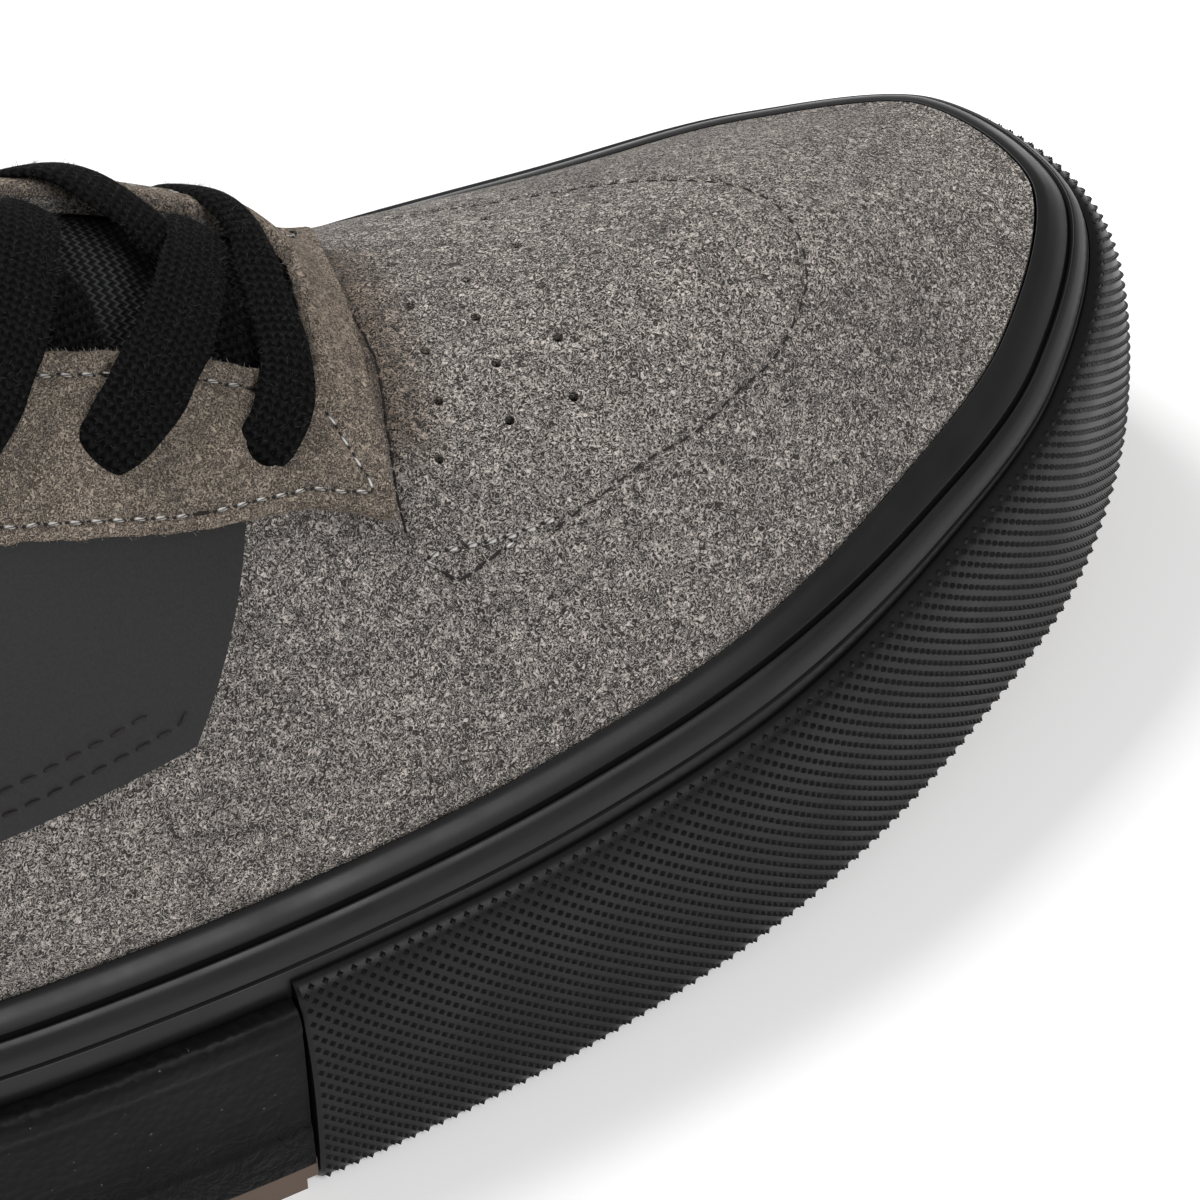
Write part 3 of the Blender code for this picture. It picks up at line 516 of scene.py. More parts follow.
def on_upper(plan, out=0.0):
    """Points over places in plan, lifted off the upper by a distance, and the directions out."""
    plan = np.asarray(plan, float)
    along, across = plan[:, 0], plan[:, 1]
    step = 1.0 * MM
    rise_x = (height(along + step, across) - height(along - step, across)) / (2 * step)
    rise_y = (height(along, across + step) - height(along, across - step)) / (2 * step)
    normal = unit(np.column_stack([-rise_x, -rise_y, np.ones(len(plan))]))
    points = np.column_stack([plan, height(along, across)])
    return points + normal * np.broadcast_to(out, len(plan))[:, None], normal


def tape_tables():
    """For places along the shoe, how far across a tape laid down from the ridge reaches."""
    steps = np.arange(0, 50 * MM, 0.25 * MM)
    tapes = np.arange(0, 60 * MM, 0.5 * MM)
    tables = {}
    for sign in (-1, 1):
        rows = []
        for along in PLAN_X:
            across = ridge_across(along)[0] + sign * steps
            tops = height(np.full(len(steps), along), across)
            lengths = lengths_along(np.column_stack([across, tops]))
            rows.append(np.interp(tapes, lengths, across))
        tables[sign] = np.array(rows)
    return tapes, tables


TAPES, TAPE_TABLES = tape_tables()


def tape_across(along, tape):
    """The place across that a signed tape length from the ridge reaches."""
    along, tape = np.broadcast_arrays(np.asarray(along, float), np.asarray(tape, float))
    rows = (along - PLAN_X[0]) / PLAN_STEP
    columns = np.abs(tape) / (TAPES[1] - TAPES[0])
    result = np.empty(along.shape)
    for sign in (-1, 1):
        here = (tape < 0) == (sign < 0)
        result[here] = read_grid(TAPE_TABLES[sign], rows, columns)[here]
    return result


def throat_half_width(along):
    share = (THROAT_FRONT - np.asarray(along)) / THROAT_LENGTH
    return THROAT_WIDTH / 2 * (1 + 0.3 * np.clip(share, 0, 1.4))


def slanted(plan):
    """A plan line whose front is turned a little, so that the inner side reaches further."""
    plan = np.asarray(plan, float)
    fade = np.clip(1 - (THROAT_FRONT - plan[:, 0]) / FACING_TAPER, 0, 1)
    shift = THROAT_SLANT * fade * (plan[:, 1] - ridge_across(plan[:, 0]))
    return np.column_stack([plan[:, 0] + shift, plan[:, 1]])


def throat_outline(margin):
    """The lace opening in plan, from its outer side's back round the front."""
    front = THROAT_FRONT + margin
    corner = THROAT_CORNER
    alongs = np.linspace(THROAT_BACK, front - corner, 60)
    turn = np.linspace(0, np.pi / 2, 9)[1:]
    sides = []
    for sign in (-1, 1):
        side = ridge_across(alongs) + sign * (throat_half_width(alongs) + margin)
        along = front - corner + corner * np.sin(turn)
        across = side[-1] - sign * corner * (1 - np.cos(turn))
        sides.append(np.vstack([np.column_stack([alongs, side]), np.column_stack([along, across])]))
    return slanted(np.vstack([sides[0], sides[1][::-1]]))


def facing_width(along):
    return float(smooth_line(*FACING_WIDTHS, along / MM)[0, 0]) * MM


def eyelet_places():
    """Plan places of the lace holes from front to back, on the outer and the inner facing."""
    places = []
    for pair in range(EYELET_PAIRS):
        along = THROAT_FRONT - EYELET_SETBACK - pair * EYELET_PITCH
        reach = tape_to(along, throat_half_width(along)) + EYELET_EDGE
        places.append([(along, float(tape_across(along, sign * reach))) for sign in (-1, 1)])
    return places


def tape_to(along, half):
    """The tape length from the ridge to a half width in plan."""
    steps = np.linspace(0, half, 20)
    centre = ridge_across(along)[0]
    tops = height(np.full(20, along), centre + steps)
    return float(lengths_along(np.column_stack([steps, tops]))[-1])


HOLES = eyelet_places()


# Meshes

def add_object(name, data):
    made = bpy.data.objects.new(name, data)
    bpy.context.scene.collection.objects.link(made)
    return made


def new_piece(name, points, faces, material, *, slot=None, flat=False, cad=()):
    """A mesh object from points in the sole's frame, riding on the shoe's one body."""
    mesh = bpy.data.meshes.new(name)
    moved = np.asarray(points, float) - (SOLE_ORIGIN[0], SOLE_ORIGIN[1], 0)
    mesh.from_pydata(moved.tolist(), [], [tuple(int(c) for c in face) for face in faces])
    build = bmesh.new()
    build.from_mesh(mesh)
    bmesh.ops.remove_doubles(build, verts=build.verts, dist=0.001 * MM)
    bmesh.ops.recalc_face_normals(build, faces=build.faces)
    build.to_mesh(mesh)
    build.free()
    piece = add_object(name, mesh)
    if not flat:
        mesh.shade_smooth()
    if material is not None:
        mesh.materials.append(material)
        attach(piece, "root")
        if cad:
            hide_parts(*cad)
    return piece


def prism(name, outline, low, high, axis=2):
    outline = np.asarray(outline, float)
    size = len(outline)
    points = np.empty((2 * size, 3))
    kept = [k for k in range(3) if k != axis]
    points[:, kept] = np.vstack([outline, outline])
    points[:size, axis] = low
    points[size:, axis] = high
    faces = [list(range(size)), list(range(size, 2 * size))[::-1]]
    faces += [(i, size + i, size + (i + 1) % size, (i + 1) % size) for i in range(size)]
    return new_piece(name, points, faces, None)


def pins(name, places, radius, sides=20):
    """Short round cutters square to the upper over places in plan."""
    build = bmesh.new()
    points, normals = on_upper(places)
    for point, normal in zip(points, normals):
        turn = Vector(normal).to_track_quat("Z", "Y").to_matrix().to_4x4()
        turn.translation = Vector(point) - Vector((*SOLE_ORIGIN, 0))
        bmesh.ops.create_cone(
            build, cap_ends=True, segments=sides, radius1=radius, radius2=radius, depth=CUTTER_DEPTH,
            matrix=turn,
        )
    mesh = bpy.data.meshes.new(name)
    build.to_mesh(mesh)
    build.free()
    return add_object(name, mesh)


def carve(piece, *cuts):
    """Applies Boolean cuts, each a cutter or a pair of a cutter and an operation."""
    for entry in cuts:
        cutter, operation = entry if isinstance(entry, tuple) else (entry, "DIFFERENCE")
        change = piece.modifiers.new(cutter.name, "BOOLEAN")
        change.operation = operation
        change.solver = "EXACT"
        change.object = cutter
    bpy.context.view_layer.update()
    graph = bpy.context.evaluated_depsgraph_get()
    mesh = bpy.data.meshes.new_from_object(piece.evaluated_get(graph))
    piece.modifiers.clear()
    old = piece.data
    piece.data = mesh
    bpy.data.meshes.remove(old)


def discard(*cutters):
    for cutter in cutters:
        bpy.data.objects.remove(cutter, do_unlink=True)


def sharpen(piece, degrees):
    piece.data.shade_smooth()
    piece.data.set_sharp_from_angle(angle=math.radians(degrees))


def tube_faces(count, size, closed=False, turned=False):
    """Faces between rings of points and, on an open tube, over its two ends."""
    faces = []
    for i in range(count if closed else count - 1):
        j = (i + 1) % count
        for k in range(size):
            m = (k + 1) % size
            face = (i * size + k, j * size + k, j * size + m, i * size + m)
            faces.append((face[0], *face[:0:-1]) if turned else face)
    if not closed:
        ends = [list(range(size)), [(count - 1) * size + k for k in range(size)][::-1]]
        faces += [end[::-1] for end in ends] if turned else ends
    return faces


def strip(name, ways, section, material, closed=True, **options):
    """A strip round the sole from a section of insets and heights, or one section for each way."""
    section = np.broadcast_to(section, (len(ways), *np.shape(section)[-2:]))
    size = section.shape[1]
    rings = [ring_at(ways, section[:, k, 0], section[:, k, 1]) for k in range(size)]
    points = np.stack(rings, 1).reshape(-1, 3)
    return new_piece(name, points, tube_faces(len(ways), size, closed), material, **options)


def rounded(section, radii, steps=4):
    """A closed section whose corners are replaced by small arcs, with radii in millimetres."""
    result = []
    for k, corner in enumerate(section):
        before = section[k - 1] - corner
        after = section[(k + 1) % len(section)] - corner
        reach = min(radii[k] * MM, 0.45 * np.linalg.norm(before), 0.45 * np.linalg.norm(after))
        if reach <= 0:
            result.append(corner)
            continue
        start = corner + before / np.linalg.norm(before) * reach
        end = corner + after / np.linalg.norm(after) * reach
        for u in np.linspace(0, 1, steps + 1):
            result.append((1 - u) ** 2 * start + 2 * u * (1 - u) * corner + u**2 * end)
    return np.array(result)


def shell(name, low, high, first_row, material, **options):
    """A closed shell that follows the upper between two distances out."""
    outer = DOME + DOME_OUT * high
    inner = DOME + DOME_OUT * low
    count = COLUMNS * HEIGHTS
    faces = dome_faces(first_row, 0) + [face[::-1] for face in dome_faces(first_row, count)]
    for column in range(COLUMNS):
        here = column * HEIGHTS + first_row
        there = ((column + 1) % COLUMNS) * HEIGHTS + first_row
        faces.append((here, here + count, there + count, there))
    points = np.vstack([outer.reshape(-1, 3), inner.reshape(-1, 3)])
    used = np.unique(np.concatenate([np.asarray(face) for face in faces]))
    place = np.full(len(points), -1)
    place[used] = np.arange(len(used))
    faces = [place[list(face)] for face in faces]
    return new_piece(name, points[used], faces, material, **options)


def patch(name, plan_rows, outs, material, **options):
    """A closed pad over the upper from a grid of plan places: outs is a pair of distances out."""
    rows, size = len(plan_rows), len(plan_rows[0])
    flat = np.array(plan_rows).reshape(-1, 2)
    low, high = outs
    top = on_upper(flat, np.asarray(high).reshape(-1))[0]
    under = on_upper(flat, np.asarray(low).reshape(-1))[0]
    count = rows * size
    faces = []
    for i in range(rows - 1):
        for k in range(size - 1):
            a = i * size + k
            faces.append((a, a + 1, a + size + 1, a + size))
            faces.append((count + a + size, count + a + size + 1, count + a + 1, count + a))
    rim = list(range(size))
    rim += [i * size + size - 1 for i in range(1, rows)]
    rim += [(rows - 1) * size + k for k in range(size - 2, -1, -1)]
    rim += [i * size for i in range(rows - 2, 0, -1)]
    for here, there in zip(rim, rim[1:] + rim[:1]):
        faces.append((here, count + here, count + there, there))
    return new_piece(name, np.vstack([top, under]), faces, material, **options)


def stitches(name, line, normals, material, style):
    """A row of thread stitches: short arched rods that dive into the surface at both ends."""
    pitch, share, radius, sink, light, wander = STITCHES[style]
    pitch, radius = pitch * MM, radius * MM
    lengths = lengths_along(line)
    count = int(lengths[-1] / pitch)
    sides, rings = 6, 7
    points, faces, tints = [], [], []
    for number in range(count):
        start = number * lengths[-1] / count
        at = start + np.linspace(0, share * pitch, rings)
        centre = read_at(at, lengths, line)
        out = read_at(at, lengths, normals)
        heading = unit(centre[-1] - centre[0])
        side = unit(np.cross(heading, out[0]))
        lean = CHANCE.normal(0, wander) * radius
        bright = CHANCE.random() < light
        first = len(points)
        for k in range(rings):
            u = k / (rings - 1)
            arch = math.sin(math.pi * u)
            rise = radius * (0.9 * arch**0.6 - sink)
            middle = centre[k] + out[k] * rise + side * lean * (u - 0.5)
            wide = radius * (0.55 + 0.45 * arch**0.5)
            for s in range(sides):
                angle = 2 * math.pi * s / sides + 2.2 * u
                turned = side * math.cos(angle) + out[k] * 0.8 * math.sin(angle)
                points.append(middle + wide * turned)
                # Light flecks only on the middle of a light stitch; its ends stay dark as painted
                # shade where the thread dives into its holes
                tints.append(1.0 if bright and 0.3 < u < 0.72 and s % 3 else 0.0)
        rod = tube_faces(rings, sides, turned=True)
        faces += [[first + corner for corner in face] for face in rod]
    piece = new_piece(name, points, faces, material)
    tint = piece.data.color_attributes.new("fleck", "FLOAT_COLOR", "POINT")
    values = np.repeat(np.array(tints, np.float32), 4)
    if len(values) == 4 * len(tint.data):
        tint.data.foreach_set("color", values)


def fuzz(name, roots, outs, material, length, width):
    """Loose fibres: thin bent blades that stand out of a surface."""
    points, faces = [], []
    for root, out in zip(roots, outs):
        tip = unit(np.asarray(out) + CHANCE.normal(0, 0.8, 3))
        long = length * (0.45 + 0.9 * CHANCE.random())
        side = np.cross(tip, CHANCE.normal(0, 1, 3))
        side *= width / 2 / max(np.linalg.norm(side), 1e-9)
        bend = CHANCE.normal(0, 0.25, 3) * long
        first = len(points)
        middle = root + tip * long * 0.55 + bend * 0.5
        points += [root - side, root + side, middle + side * 0.7, middle - side * 0.7]
        points.append(root + tip * long + bend)
        faces += [(first, first + 1, first + 2, first + 3), (first + 3, first + 2, first + 4)]
    new_piece(name, points, faces, material, flat=True)


# Materials

def shaded(name, colour, roughness, **sockets):
    """A material, its node tree and its shader, with constant sockets set by name."""
    made = bpy.data.materials.new(name)
    made.use_nodes = True
    shader = made.node_tree.nodes["Principled BSDF"]
    shader.inputs["Base Color"].default_value = (*colour, 1)
    shader.inputs["Roughness"].default_value = roughness
    for key, value in sockets.items():
        shader.inputs[key.replace("_", " ")].default_value = value
    return made, made.node_tree, shader


def node(tree, kind, inputs=None, **settings):
    made = tree.nodes.new(kind)
    for key, value in settings.items():
        setattr(made, key, value)
    for key, value in (inputs or {}).items():
        if isinstance(value, bpy.types.NodeSocket):
            tree.links.new(value, made.inputs[key])
        else:
            made.inputs[key].default_value = value
    return made


def place_of(tree):
    return node(tree, "ShaderNodeTexCoord").outputs["Object"]


def grey(level):
    return (level, level, level)


def noise(tree, place, scale, detail=2.0, roughness=0.5, distortion=0.0):
    inputs = {"Vector": place, "Scale": scale, "Detail": detail, "Roughness": roughness}
    inputs["Distortion"] = distortion
    return node(tree, "ShaderNodeTexNoise", inputs).outputs["Fac"]


def ramp(tree, value, stops, shader=None, socket="Base Color"):
    """A ramp of greys or colours over a value, which can feed one of the shader's sockets."""
    made = node(tree, "ShaderNodeValToRGB", {"Fac": value})
    line = made.color_ramp.elements
    for k, (at, colour) in enumerate(stops):
        stop = line[k] if k < 2 else line.new(at)
        stop.position = at
        stop.color = (*colour, 1) if hasattr(colour, "__len__") else (*grey(colour), 1)
    if shader:
        tree.links.new(made.outputs["Color"], shader.inputs[socket])
    return made.outputs["Color"]


def mixed(tree, share, first, second, blend="MIX"):
    inputs = {0: share, 6: first, 7: second}
    return node(tree, "ShaderNodeMix", inputs, data_type="RGBA", blend_type=blend).outputs[2]


def math_node(tree, operation, first, second=0.0):
    return node(tree, "ShaderNodeMath", {0: first, 1: second}, operation=operation).outputs[0]


def times(tree, first, second):
    return math_node(tree, "MULTIPLY", first, second)


def plus(tree, first, second):
    return math_node(tree, "ADD", first, second)


def bump(tree, shader, heights, distance, strength=1.0, before=None):
    inputs = {"Height": heights, "Distance": distance, "Strength": strength}
    if before is not None:
        inputs["Normal"] = before
    made = node(tree, "ShaderNodeBump", inputs)
    tree.links.new(made.outputs["Normal"], shader.inputs["Normal"])
    return made.outputs["Normal"]


def suede(name, dark, middle, light, grain=1.0, folds=()):
    """Napped leather: curled clumps of fibre with painted shade in the dark gaps between them, broad
    changes where it is brushed, and painted shade along folds.
    """
    made, tree, shader = shaded(
        name, middle, 0.95, Sheen_Weight=0.12, Sheen_Roughness=0.5, Specular_IOR_Level=0.12
    )
    place = place_of(tree)
    curls = noise(tree, place, 1650 / grain, 0.7, 0.5, 1.9)
    fibres = noise(tree, place, 4600 / grain, 1.5, 0.6, 0.4)
    clumps = noise(tree, place, 330, 2.0, 0.55, 0.3)
    brushed = noise(tree, place, 45, 2.5, 0.55, 0.9)
    away = math_node(tree, "ABSOLUTE", math_node(tree, "SUBTRACT", curls, 0.5))
    grains = ramp(tree, away, ((0.0, 1.0), (0.05, 0.80), (0.13, 0.0)))
    relief = plus(tree, times(tree, grains, 0.62), times(tree, fibres, 0.50))
    # Painted shade: the colour follows the relief and is darkest in the gaps between the curls; the
    # light fibre tips are the suede's own tone
    nap_with_gap_shade = ramp(tree, relief, ((0.27, dark), (0.55, middle), (0.80, light)))
    tone = ramp(tree, clumps, ((0.3, 0.86), (0.7, 1.1)))
    patches = ramp(tree, brushed, ((0.35, 0.88), (0.65, 1.08)))
    colour = mixed(tree, 1.0, mixed(tree, 1.0, nap_with_gap_shade, tone, "MULTIPLY"), patches, "MULTIPLY")
    # Painted shade: near each of these places the colour is darkened towards brown, for the fold in
    # front of the eyestay
    for spot in folds:
        far = node(tree, "ShaderNodeVectorMath", {0: place, 1: spot}, operation="DISTANCE")
        away = times(tree, far.outputs["Value"], 50.0)
        shade = ramp(tree, away, ((0.06, (0.60, 0.52, 0.45)), (0.36, 1.0)))
        colour = mixed(tree, 1.0, colour, shade, "MULTIPLY")
    tree.links.new(colour, shader.inputs["Base Color"])
    bump(tree, shader, relief, 1.1 * MM, 1.0)
    return made


def rubber(name, colour, roughness, pitting=0.25, gloss=0.4):
    made, tree, shader = shaded(name, colour, roughness, Specular_IOR_Level=gloss)
    place = place_of(tree)
    cloud = noise(tree, place, 90, 3.0, 0.6)
    fine = noise(tree, place, 2600, 2.0, 0.6)
    ramp(tree, cloud, ((0.3, roughness - 0.06), (0.7, roughness + 0.1)), shader, "Roughness")
    bump(tree, shader, fine, 0.05 * MM, pitting)
    return made


def make_materials():
    # Each suede's colours: painted shade for the gaps between curls, the middle tone, and the light
    # fibre tips
    suede_grey = ((0.032, 0.027, 0.023), (0.310, 0.277, 0.249), (0.78, 0.705, 0.642))
    suede_brown = ((0.070, 0.050, 0.036), (0.315, 0.243, 0.183), (0.64, 0.522, 0.408))
    light_fibre = shaded("loose_fibres", (0.30, 0.27, 0.245), 0.9, Specular_IOR_Level=0.2)
    dark_fibre = shaded("dark_fibres", (0.030, 0.029, 0.029), 0.8, Specular_IOR_Level=0.3)
    return {
        "suede": suede("suede_vamp", *suede_grey, folds=FOLD_SHADE_PLACES),
        "suede_warm": suede("suede_facing", *suede_brown, 0.85),
        "fibre": light_fibre[0],
        "black_fibre": dark_fibre[0],
        "welt": rubber("welt_rubber", (0.0085, 0.0085, 0.0089), 0.38, 0.15, 0.28),
        "tape": tape_rubber(),
        "bumper": rubber("bumper_rubber", (0.0044, 0.0044, 0.0047), 0.40, 0.3, 0.22),
        "gum": rubber("gum_rubber", (0.115, 0.078, 0.056), 0.55, 0.3),
        "panel": panel_leather(),
        "lace": lace_weave(),
        "mesh": knitted_mesh(),
        "lining": lining_cloth(),
        "foam": rubber("foam_filler", (0.03, 0.03, 0.03), 0.8, 0.6),
        "thread": thread("flecked_thread", (0.012, 0.010, 0.009), (0.62, 0.60, 0.57)),
        "dark_thread": thread("dark_thread", (0.016, 0.014, 0.013), (0.05, 0.045, 0.04)),
    }


def tape_rubber():
    """Smooth side tape with flecks of dust, faintly dimpled, with a leathery lower band."""
    black = (0.0022, 0.0022, 0.0024)
    made, tree, shader = shaded("tape_rubber", black, 0.5, Specular_IOR_Level=0.13)
    place = place_of(tree)
    cells = node(tree, "ShaderNodeTexVoronoi", {"Vector": place, "Scale": 900.0}, feature="F1")
    cloud = noise(tree, place, 70, 3.0, 0.6)
    folds = noise(tree, place, 330, 3.0, 0.6, 1.2)
    split = node(tree, "ShaderNodeSeparateXYZ", {"Vector": place})
    lower = ramp(tree, times(tree, split.outputs["Z"], 20.0), ((0.22, 1.0), (0.30, 0.0)))
    ramp(tree, cloud, ((0.3, 0.42), (0.7, 0.58)), shader, "Roughness")
    dust = noise(tree, place, 1500, 2.0, 0.5)
    ramp(tree, dust, ((0.73, black), (0.78, 0.10)), shader)
    first = bump(tree, shader, cells.outputs["Distance"], 0.22 * MM, 0.5)
    bump(tree, shader, times(tree, folds, lower), 1.1 * MM, 0.9, first)
    return made


def panel_leather():
    look = shaded("panel_leather", (0.028, 0.028, 0.029), 0.62, Specular_IOR_Level=0.35)
    made, tree, shader = look
    fine = noise(tree, place_of(tree), 3000, 2.0, 0.7)
    ramp(tree, fine, ((0.3, (0.009, 0.009, 0.0093)), (0.75, (0.017, 0.017, 0.0176))), shader)
    bump(tree, shader, fine, 0.06 * MM, 0.5)
    return made


def lace_weave():
    """Flat woven lace: columns of small slanted yarns, read from the strand's own map."""
    look = shaded("lace_weave", (0.004, 0.004, 0.0042), 0.95, Specular_IOR_Level=0.08)
    made, tree, shader = look
    uv = node(tree, "ShaderNodeUVMap", uv_map="strand")
    split = node(tree, "ShaderNodeSeparateXYZ", {"Vector": uv.outputs["UV"]})
    column = math_node(tree, "PINGPONG", split.outputs["Y"], 0.5)
    place = place_of(tree)
    loose = times(tree, noise(tree, place, 1300, 2.0, 0.6), 0.45)
    slant = plus(tree, split.outputs["X"], times(tree, column, 0.9))
    yarn = math_node(tree, "PINGPONG", plus(tree, slant, loose), 0.5)
    relief = plus(tree, yarn, times(tree, column, 0.7))
    fine = noise(tree, place, 3500, 2.0, 0.7)
    level = plus(tree, times(tree, relief, 0.8), times(tree, fine, 0.5))
    ramp(tree, level, ((0.40, (0.0006, 0.0006, 0.0007)), (1.0, (0.013, 0.013, 0.0133))), shader)
    first = bump(tree, shader, relief, 0.5 * MM, 1.0)
    bump(tree, shader, fine, 0.3 * MM, 0.9, first)
    return made


def knitted_mesh():
    """Black spacer mesh: rows of small loops with holes between, the loops painted lighter as
    highlight and the holes darker as shade.
    """
    look = shaded("knitted_mesh", (0.01, 0.01, 0.0105), 0.7, Specular_IOR_Level=0.2)
    made, tree, shader = look
    split = node(tree, "ShaderNodeSeparateXYZ", {"Vector": place_of(tree)})
    across = times(tree, split.outputs["Y"], 1150.0)
    along = times(tree, split.outputs["X"], 900.0)
    column = math_node(tree, "PINGPONG", across, 0.5)
    loop = math_node(tree, "PINGPONG", plus(tree, along, column), 0.5)
    # Painted highlight on the loops and painted shade in the holes, laid over the mesh's own pattern
    # of loops and holes
    ramp(tree, loop, ((0.26, (0.0015, 0.0015, 0.0016)), (0.46, (0.045, 0.046, 0.048))), shader)
    bump(tree, shader, loop, 0.5 * MM, 0.9)
    return made


def lining_cloth():
    black = (0.014, 0.014, 0.0145)
    look = shaded("lining_cloth", black, 0.9, Sheen_Weight=0.15, Specular_IOR_Level=0.2)
    made, tree, shader = look
    place = place_of(tree)
    cells = node(tree, "ShaderNodeTexVoronoi", {"Vector": place, "Scale": 1300.0}, feature="F1")
    cloud = noise(tree, place, 120, 2.0, 0.6)
    ramp(tree, cloud, ((0.3, (0.010, 0.010, 0.0105)), (0.7, (0.022, 0.022, 0.023))), shader)
    bump(tree, shader, cells.outputs["Distance"], 0.25 * MM, 0.7)
    return made


def thread(name, dark, light):
    made, tree, shader = shaded(name, dark, 0.7, Specular_IOR_Level=0.3)
    fleck = node(tree, "ShaderNodeVertexColor", layer_name="fleck")
    tint = mixed(tree, fleck.outputs["Color"], (*dark, 1), (*light, 1))
    tree.links.new(tint, shader.inputs["Base Color"])
    fine = noise(tree, place_of(tree), 4500, 1.0, 0.5)
    bump(tree, shader, fine, 0.08 * MM, 0.8)
    return made


LOOKS = make_materials()


# Rubber parts

def build_welt():
    """The welt: grooved bands between suede and side tape, the upper one wider at the toe."""
    inner = WELT_INSET - GAP
    outer = TAPE_THICKNESS + GAP
    low = FOOTBED_HEIGHT + GAP
    sections = []
    for rows in (WELT_SIDE, WELT_TOE):
        ends = [(inner, 37.30 * MM), (inner, 36.5 * MM)]
        section = np.vstack([[(inner, low), (outer, low)], np.array(rows) * MM, ends])
        sections.append(rounded(section, WELT_RADII))
    ways = np.linspace(0, 2, 460, endpoint=False)
    near_toe = np.clip(1.6 - np.abs(ways - 1) / 0.16, 0, 1)
    share = (near_toe**2 * (3 - 2 * near_toe))[:, None, None]
    section = sections[0][None] * (1 - share) + sections[1][None] * share
    piece = strip("welt_band", ways, section, LOOKS["welt"], slot="black_rubber", cad=("rand",))
    sharpen(piece, 50)


def build_tape():
    """The side tape round heel and waist, with a soft bead along its top."""
    low = OUTSOLE_THICKNESS + GAP
    foot = [(TAPE_THICKNESS, low), (TAPE_FOOT, low), (TAPE_FOOT, low - TAPE_LIP)]
    foot.append((0.80 * MM, low - TAPE_LIP))
    rows = np.vstack([foot, np.array(TAPE_SECTION) * MM, [(TAPE_THICKNESS, TAPE_TOP)]])
    section = rounded(rows, TAPE_RADII)
    end = BUMPER_START - BUMPER_JOINT
    ways = np.linspace(-end, end, 320)
    options = {"closed": False, "slot": "black_rubber", "cad": ("foxing",)}
    sharpen(strip("side_tape", ways, section, LOOKS["tape"], **options), 50)


def build_bumper():
    """The toe bumper: a smooth margin and a staggered field of small studs on a domed wall."""
    profile = np.array(BUMPER_SECTION) * MM
    lengths = lengths_along(profile)
    fine = smooth_line(lengths, profile, np.linspace(0, lengths[-1], 300))
    lengths = lengths_along(fine)
    rows = int(lengths[-1] / (STUD_ROWS / 2))
    at = np.linspace(0, lengths[-1], rows + 1)
    insets, heights = read_at(at, lengths, fine).T
    slopes = np.gradient(fine, axis=0) / np.gradient(lengths)[:, None]
    tilt, rise = read_at(at, lengths, slopes).T
    start = BUMPER_START + BUMPER_JOINT
    test = np.linspace(start, 2 - start, 900)
    line = edge_at(test)[0]
    around = lengths_along(line)
    columns = int(around[-1] / (STUD_PITCH / 4))
    places = np.linspace(0, around[-1], columns + 1)
    ways = np.interp(places, around, test)
    plan, facing = edge_at(ways)
    ends = np.minimum(places, around[-1] - places)
    rim = np.clip(1 - ends / (0.5 * MM), 0, 1) ** 2 * 0.35 * MM
    points = np.empty((columns + 1, rows + 1, 3))
    for k in range(rows + 1):
        stud = np.zeros(columns + 1)
        if k % 2 == 0:
            stud[(np.arange(columns + 1) + k % 4) % 4 == 0] = 1.0
        stud *= (ends > STUD_MARGIN) * (at[k] > STUDS_LOW)
        stud *= np.clip((lengths[-1] - at[k] - STUDS_TOP) / (0.4 * MM), 0, 1)
        stand = stud * STUD_HEIGHT
        inset = insets[k] - stand * rise[k]
        high = heights[k] + lift(plan[:, 0], heights[k]) + stand * tilt[k]
        points[:, k, :2] = plan - facing * (inset + rim)[:, None]
        points[:, k, 2] = high
    size = rows + 1
    faces = []
    for i in range(columns):
        for k in range(rows):
            a = i * size + k
            if (i + k) % 2:
                faces += [(a, a + size, a + size + 1), (a, a + size + 1, a + 1)]
            else:
                faces += [(a, a + size, a + 1), (a + size, a + size + 1, a + 1)]
    points = points.reshape(-1, 3)
    count = len(points)
    back = plan - facing * TAPE_THICKNESS
    for high in (heights[-1], heights[0]):
        points = np.vstack([points, np.column_stack([back, high + lift(plan[:, 0], high)])])
    top, low = count, count + columns + 1
    for i in range(columns):
        a = i * size
        faces.append((a + rows, a + size + rows, top + i + 1, top + i))
        faces.append((top + i, top + i + 1, low + i + 1, low + i))
        faces.append((low + i, low + i + 1, a + size, a))
    for i in (0, columns):
        faces.append([i * size + k for k in range(size)] + [top + i, low + i])
    options = {"slot": "black_rubber", "cad": ("toe_bumper",)}
    sharpen(new_piece("toe_guard", points, faces, LOOKS["bumper"], **options), 25)


# The suede upper

def seam_line(places):
    """A seam on the upper's face from places in millimetres: its points and directions out."""
    return on_upper(curved(np.array(places) * MM, SEAM_STEP))


SEAMS = {"toe": seam_line(TOE_SEAM), "front": seam_line(FRONT_SEAM)}


def tree_of(points):
    tree = KDTree(len(points))
    for k, point in enumerate(points):
        tree.insert(point, k)
    tree.balance()
    return tree


def press(piece, line, depth, width):
    """Presses a shallow channel into a mesh along a line."""
    points, normals = line
    tree = tree_of(points - np.array((*SOLE_ORIGIN, 0)))
    build = bmesh.new()
    build.from_mesh(piece.data)
    close = [face for face in build.faces if tree.find(face.calc_center_median())[2] < 4 * width]
    edges = list({edge for face in close for edge in face.edges if edge.calc_length() > width * 0.6})
    bmesh.ops.subdivide_edges(build, edges=edges, cuts=3, use_grid_fill=True)
    for vertex in build.verts:
        _, index, away = tree.find(vertex.co)
        if away < 3 * width:
            vertex.co -= Vector(normals[index]) * depth * math.exp(-((away / width) ** 2))
    build.to_mesh(piece.data)
    build.free()


